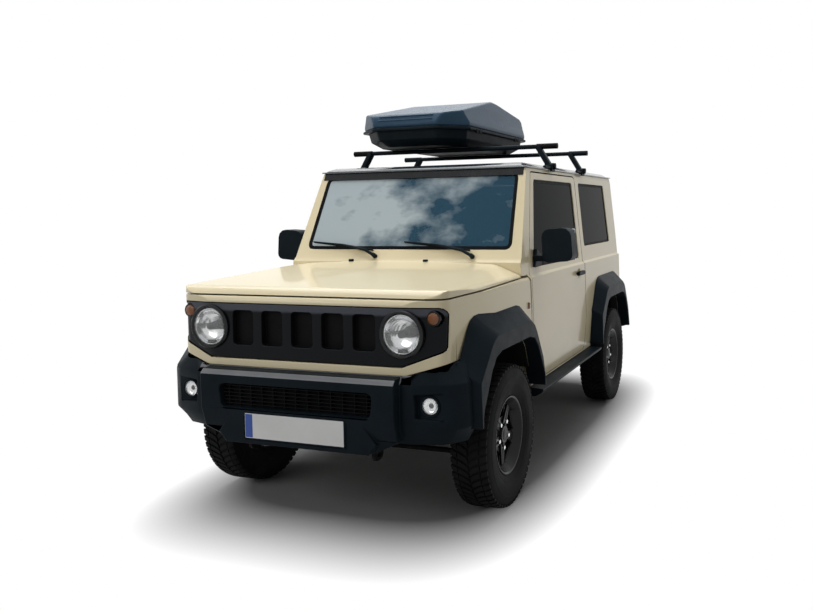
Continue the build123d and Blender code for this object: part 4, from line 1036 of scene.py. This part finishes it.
def wipers():
    """Each wiper: a cap on its pivot, a tapering arm and a hinged blade with its rubber."""
    arms, rubbers = bmesh.new(), bmesh.new()
    for x in WIPER_PIVOTS:
        foot = on_screen(x, -0.042, 0.022)
        elbow = on_screen(x - 0.06, -0.012, 0.026)
        middle = on_screen(x - BLADE * 0.52, 0.024, 0.018)
        tip, heel = on_screen(x - BLADE, 0.045, 0.013), on_screen(x - 0.02, -0.005, 0.013)
        bar(arms, foot - SCREEN_OUT * 0.016, foot + SCREEN_OUT * 0.008, 0.014, 0.012, 20)
        bar(arms, foot, elbow, 0.0095, 0.008, 10)
        bar(arms, elbow, middle, 0.008, 0.005, 10)
        bar(arms, tip, middle, 0.004, 0.0065, 8)
        bar(arms, middle, heel, 0.0065, 0.004, 8)
        bar(rubbers, tip - SCREEN_OUT * 0.007, heel - SCREEN_OUT * 0.007, 0.004, sides=6)
    fit("wiper_arms", arms, PLASTIC, "wipers", instead=True)
    fit("wiper_rubbers", rubbers, SEAL_AND_SHADE_BLACK, "wipers")


def screen_header():
    """The black strip between the windscreen's upper edge and the roof."""
    form = slabs(((-0.65, -0.028, -0.003), (0.65, 0.028, 0.003), 0.0015))
    basis = Matrix((Vector((1, 0, 0)), SCREEN_SLOPE, SCREEN_OUT)).transposed().to_4x4()
    shift(form, Matrix.Translation(on_screen(0, 0.49, 0.001)) @ basis)
    fit("screen_header", form, GLOSS_BLACK, "roof_panel")


def plates():
    """Blank number plates in black holders, with a plain blue band on the right-hand end."""
    for end, face, half, z, out in (("front", -1.8185, 0.263, 0.4905, -1), ("rear", 1.6575, 0.258, 0.512, 1)):
        for layer, finish, left, right, tall, back, front, soft in (
                ("plate_holder", PLASTIC, -half, half, 0.126, 0.0, 0.0018, 0.0008),
                ("plate", PLATE, -half + 0.006, half - 0.006, 0.112, 0.0016, 0.0032, 0.0006),
                ("plate_band", PLATE_BLUE, -half + 0.008, -half + 0.046, 0.106, 0.003, 0.0038, 0.0003)):
            low, high = sorted((face + out * back, face + out * front))
            form = slabs(((left, low, z - tall / 2), (right, high, z + tall / 2), soft))
            fit(f"{end}_{layer}", form, finish, f"{end}_bumper")


def air_opening():
    """Slats in the bumper's air opening."""
    form = bmesh.new()
    row(form, 6, (0, 0, 0.0165), (-0.392, -1.8, 0.58), (0.392, -1.784, 0.584), 0.001)
    row(form, 13, (0.06, 0, 0), (-0.362, -1.797, 0.572), (-0.358, -1.781, 0.672), 0.001)
    fit("air_opening_slats", form, SEAL_AND_SHADE_BLACK, "front_bumper")


def small_fittings():
    """Washer nozzles, side repeaters and the fuel flap's gap."""
    form = slabs(*(((x - 0.012, -0.83, 1.16), (x + 0.012, -0.806, 1.182), 0.004) for x in (-0.3, 0.17)))
    fit("washer_nozzles", form, PLASTIC, "wipers", body="bonnet")
    form = slabs(((0.738, -0.748, 0.915), (0.75, -0.732, 0.95), 0.005))
    fit_pair("side_repeaters", form, AMBER, "turn_lamps")
    form = bmesh.new()
    gap = [(-0.746, 0.07), (-0.7425, 0.07), (-0.7425, 0.067), (-0.746, 0.067)]
    lathe(form, gap, "x", (0, 1.44, 1.01), closed=True)
    fit("fuel_flap_gap", form, SEAL_AND_SHADE_BLACK, "side_sills")


def door_details():
    """Mirror glasses and door locks."""
    form = slabs(((0.788, -0.5065, 1.166), (0.94, -0.5035, 1.338), 0.0012))
    fit_doors("mirror_glass", form, MIRROR, "door_glass")
    form = bmesh.new()
    lock = [(0.736, 0), (0.7425, 0), (0.7425, 0.008), (0.741, 0.01), (0.736, 0.01)]
    lathe(form, lock, "x", (0, 0.412, 1.024), 24)
    fit_doors("door_lock", form, STEEL, "door_fittings")


def roof_box_fittings():
    """The box's two locks on the opening side, and the ribs pressed in its nose."""
    low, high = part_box("roof_box_base")
    form, x, z = bmesh.new(), high.x, high.z
    for y in (low.y + 0.3, high.y - 0.3):
        slab(form, (x - 0.01, y - 0.045, z - 0.03), (x + 0.003, y + 0.045, z - 0.004), 0.004)
        bar(form, (x + 0.001, y, z - 0.017), (x + 0.007, y, z - 0.017), 0.01, 0.009, 20)
    fit("roof_box_locks", form, SEAL_AND_SHADE_BLACK, "roof_box_base")
    form = bmesh.new()
    for y, z in ((-0.374, 2.034), (-0.386, 2.01)):
        bar(form, (-0.345, y, z), (0.02, y, z), 0.005, sides=12)
    fit("roof_box_ribs", form, BOX_SHELL, "roof_box_lid")


def roof_bar_feet():
    """Each bar's leg covers, with a clamp on the drip rail, its knob and a bracket along the roof."""
    feet, knobs = bmesh.new(), bmesh.new()
    low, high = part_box("roof_bars")
    lean = Matrix.Rotation(radians(-31), 4, "Y")
    for y in (low.y + 0.03, high.y - 0.03):
        slab(feet, (0.61, y - 0.026, 1.7), (0.642, y + 0.026, 1.846), 0.008, turn=lean)
        slab(feet, (0.636, y - 0.036, 1.7), (0.688, y + 0.036, 1.726), 0.006)
        slab(feet, (0.664, y - 0.15, 1.699), (0.682, y - 0.03, 1.712), 0.004)
        bar(knobs, (0.676, y, 1.716), (0.7, y, 1.716), 0.018, 0.016, 20)
        bar(knobs, (0.58, y, 1.838), (0.714, y, 1.838), 0.0175, sides=20)
    fit_pair("roof_bar_feet", feet, PLASTIC, "roof_bars")
    fit_pair("roof_bar_knobs", knobs, SEAL_AND_SHADE_BLACK, "roof_bars")


# Cabin

SEAM_WIDTH, SEAM_DEPTH = 0.12, 0.006


def pad(size, fullness, seams, place):
    """A stuffed cushion: a soft box, fuller in the middle, with seams pressed across it."""
    form = bmesh.new()
    bmesh.ops.create_cube(form, size=1)
    bmesh.ops.subdivide_edges(form, edges=form.edges[:], cuts=9, use_grid_fill=True)
    for vert in form.verts:
        u, v, w = (2 * part for part in vert.co)
        full = (1 - u ** 4) * (1 - v ** 4)
        seam = max((1 - abs(u - line) / SEAM_WIDTH for line in seams), default=0.0)
        rise = w * (fullness * full - SEAM_DEPTH * max(0.0, seam))
        edge = 1 - 0.1 * (w * w) * (abs(u) ** 6 + abs(v) ** 6) / 2
        flat = 1 - 0.35 * (u ** 6 + v ** 6) / 2
        x, y, z = vert.co * Vector(size)
        vert.co = Vector((x * edge, y * edge, z * flat + rise))
    bmesh.ops.smooth_vert(form, verts=form.verts, factor=0.5, use_axis_x=True, use_axis_y=True,
                          use_axis_z=True)
    shift(form, place)
    return form


def cushion_piece(name, pads, like, instead=True):
    """Pads joined as one padded piece."""
    form = bmesh.new()
    for size, fullness, seams, place in pads:
        add_form(form, pad(size, fullness, seams, place))
    piece = fit(name, form, CLOTH, like, instead, sharp=180)
    smooth = piece.modifiers.new("soft surface", "SUBSURF")
    smooth.levels = smooth.render_levels = 1


def at(x, y, z, tilt):
    return Matrix.Translation((x, y, z)) @ Matrix.Rotation(radians(tilt), 4, "X")


def seats():
    """Two front seats with bolsters and headrests on stays, and the folding rear bench."""
    for side, sign in SIDES.items():
        x = 0.34 * sign
        pads = [((0.3, 0.43, 0.1), 0.01, (-0.4, 0.4), at(x, 0.0, 0.69, 3)),
                ((0.28, 0.5, 0.085), 0.01, (-0.4, 0.4), at(x, 0.3, 0.945, 73)),
                ((0.21, 0.14, 0.075), 0.006, (), at(x, 0.375, 1.315, 82))]
        for lean in (-0.185, 0.185):
            pads.append(((0.085, 0.42, 0.115), 0.008, (), at(x + lean, 0.0, 0.694, 3)))
            pads.append(((0.085, 0.46, 0.105), 0.008, (), at(x + lean, 0.292, 0.935, 73)))
        cushion_piece(f"seat_{side}_pads", pads, "front_seats", side == "left")
        base = slabs(((x - 0.16, -0.12, 0.536), (x + 0.16, 0.23, 0.64), 0.01))
        for aside in (-0.05, 0.05):
            bar(base, (x + aside, 0.345, 1.16), (x + aside, 0.372, 1.27), 0.006)
        fit(f"seat_{side}_base", base, TRIM, "front_seats")
    bench = []
    for x in (-0.265, 0.265):
        bench.append(((0.52, 0.36, 0.11), 0.01, (-0.33, 0.33), at(x, 0.965, 0.676, 3)))
        bench.append(((0.52, 0.45, 0.085), 0.01, (-0.33, 0.33), at(x, 1.205, 0.915, 74)))
    cushion_piece("rear_bench_pads", bench, "rear_bench")


def dashboard():
    """The dashboard with its vents, centre screen and dials under the hood, and the cabin's mirror."""
    dress("dashboard", TRIM, 0.008)
    vents = slabs(*(((x - 0.055, -0.382, 1.032), (x + 0.055, -0.366, 1.082), 0.006)
                    for x in (-0.57, -0.1, 0.1, 0.57)))
    fit("dashboard_vents", vents, GLOSS_BLACK, "dashboard")
    dials = slabs(((-0.1, -0.392, 1.098), (0.1, -0.38, 1.178), 0.006))
    for x in (0.255, 0.415):
        lathe(dials, [(-0.397, 0), (-0.391, 0), (-0.391, 0.046), (-0.397, 0.05)], "y", (x, 0, 1.128), 32)
    fit("dashboard_dials", dials, GLOSS_BLACK, "dashboard")
    mirror = slabs(((-0.11, -0.512, 1.545), (0.11, -0.488, 1.605), 0.012))
    bar(mirror, (0, -0.515, 1.6), (0, -0.525, 1.645), 0.008)
    fit("cabin_mirror", mirror, TRIM, "dashboard")


def steering_wheel():
    """A leather-covered ring with three spokes, on the tilted column."""
    form = bmesh.new()
    ring, grip = 0.17, 0.0145
    circle = [(grip * cos(t * pi / 8), ring + grip * sin(t * pi / 8)) for t in range(16)]
    lathe(form, circle, steps=64, closed=True)
    hub = [(-0.022, 0), (0.01, 0), (0.016, 0.02), (0.012, 0.052), (-0.01, 0.058), (-0.022, 0.052)]
    lathe(form, hub, steps=40)
    for share in (0, 0.5, 0.75):
        spoke = slabs(((-0.008, 0.048, -0.018), (0.004, ring - 0.006, 0.018), 0.004))
        add_form(form, spoke, turn_of(share))
    shift(form, at(0.335, -0.262, 1.01, 24) @ turn_of(0.25, "Z"))
    fit("steering_wheel_rim", form, TRIM, "steering_wheel", instead=True)


# The studio

SHADOW_REACH_Y = 1.92  # the dark grey floor round the car, a painted shade, fades to plain white over this length, and over 1 m across
SKY_LEVEL = 0.26


def floor_finish():
    """A dark grey floor round the car, painted shade that deepens its shadow, fading to plain white away from
    it.
    """
    finish = Finish("studio_floor", 0.1, Roughness=0.9)
    # The floor's dark grey near the car is painted shade; the real shadow falls on it too.
    finish.colour(finish.patches(3.0), shade(WHITE, 0.25), shade(WHITE, 0.27))
    across, ahead = finish.axis("X"), finish.axis("Y") * (1 / SHADOW_REACH_Y)
    across, ahead = across * across, ahead * ahead
    away = finish.span(across * across + ahead * ahead, 0.38, 1.5)
    mask = finish.span(finish.seen(), 0.0, 1.0) * away
    floor_shader = Value(finish, finish.shader.outputs[0])
    plain = finish.node("Emission", {}, {"Color": WHITE})
    blend = finish.node("MixShader", {}, {0: mask, 1: floor_shader, 2: plain})
    finish.join(finish.tree.nodes["Material Output"].inputs["Surface"], blend)
    return finish


def floor():
    form = bmesh.new()
    bmesh.ops.create_circle(form, cap_ends=True, segments=96, radius=60)
    add_object("floor", form, [floor_finish()])


def world_light():
    """An even pale sky that the camera and reflections see as white."""
    world = bpy.data.worlds.new("studio")
    bpy.context.scene.world = world
    world.use_nodes = True
    sky = Nodes(world.node_tree)
    background = sky.tree.nodes["Background"]
    sky.join(background.inputs["Color"], WHITE)
    sky.join(background.inputs["Strength"], sky.span(sky.seen(), 0.0, 1.0, SKY_LEVEL, 1.0))


def softbox(name, place, target, size, radiance):
    """A rectangular lamp of an even brightness, aimed at a point."""
    light = bpy.data.lights.new(name, "AREA")
    light.shape = "RECTANGLE"
    light.size, light.size_y = size
    light.energy = radiance * pi * size[0] * size[1]
    lamp = bpy.data.objects.new(name, light)
    lamp.location = place
    lamp.rotation_euler = (Vector(target) - Vector(place)).to_track_quat("-Z", "Y").to_euler()
    bpy.context.scene.collection.objects.link(lamp)


def studio():
    floor()
    world_light()
    softbox("top_light", (-0.8, 0.6, 6.0), (0, 0, 0.5), (6.0, 7.0), 2.8)
    softbox("front_light", (-3.5, -8.0, 4.5), (0, -1.0, 0.8), (5.0, 3.5), 3.1)
    softbox("side_light", (8.0, -1.0, 3.6), (0.5, 0, 0.9), (5.0, 2.5), 0.8)


# Camera, from a fit of the car's known points to the photograph, 813 x 610 pixels

PICTURE_WIDTH = 813
EYE = (2.0998, -4.7235, 1.4499)
YAW, PITCH, ROLL = -0.34303, -0.04513, -0.01501
FOCUS = 785.61  # in pixels
CENTRE_SHIFT = (110, -60)  # from the picture's middle to the point straight ahead, in pixels


def camera():
    optics = bpy.data.cameras.new("camera")
    optics.sensor_fit = "HORIZONTAL"
    optics.lens = FOCUS / PICTURE_WIDTH * optics.sensor_width
    optics.shift_x = -CENTRE_SHIFT[0] / PICTURE_WIDTH
    optics.shift_y = CENTRE_SHIFT[1] / PICTURE_WIDTH
    eye = bpy.data.objects.new("camera", optics)
    eye.matrix_world = (Matrix.Translation(EYE) @ Matrix.Rotation(-YAW, 4, "Z")
                        @ Matrix.Rotation(pi / 2 + PITCH, 4, "X") @ Matrix.Rotation(ROLL, 4, "Z"))
    bpy.context.scene.collection.objects.link(eye)
    bpy.context.scene.camera = eye


for make in (camera, studio, body_panels, glazing, running_gear, engine_bay, door_cards, tailgate_card,
             headlamps, turn_lamps, fog_lamps, rear_lamps, wheels, spare_wheel, coil_springs, dampers, wipers,
             plates, air_opening, small_fittings, door_details, roof_box_fittings, roof_bar_feet,
             screen_header, seats, dashboard, steering_wheel):
    make()

bpy.context.scene.view_settings.view_transform = "Standard"
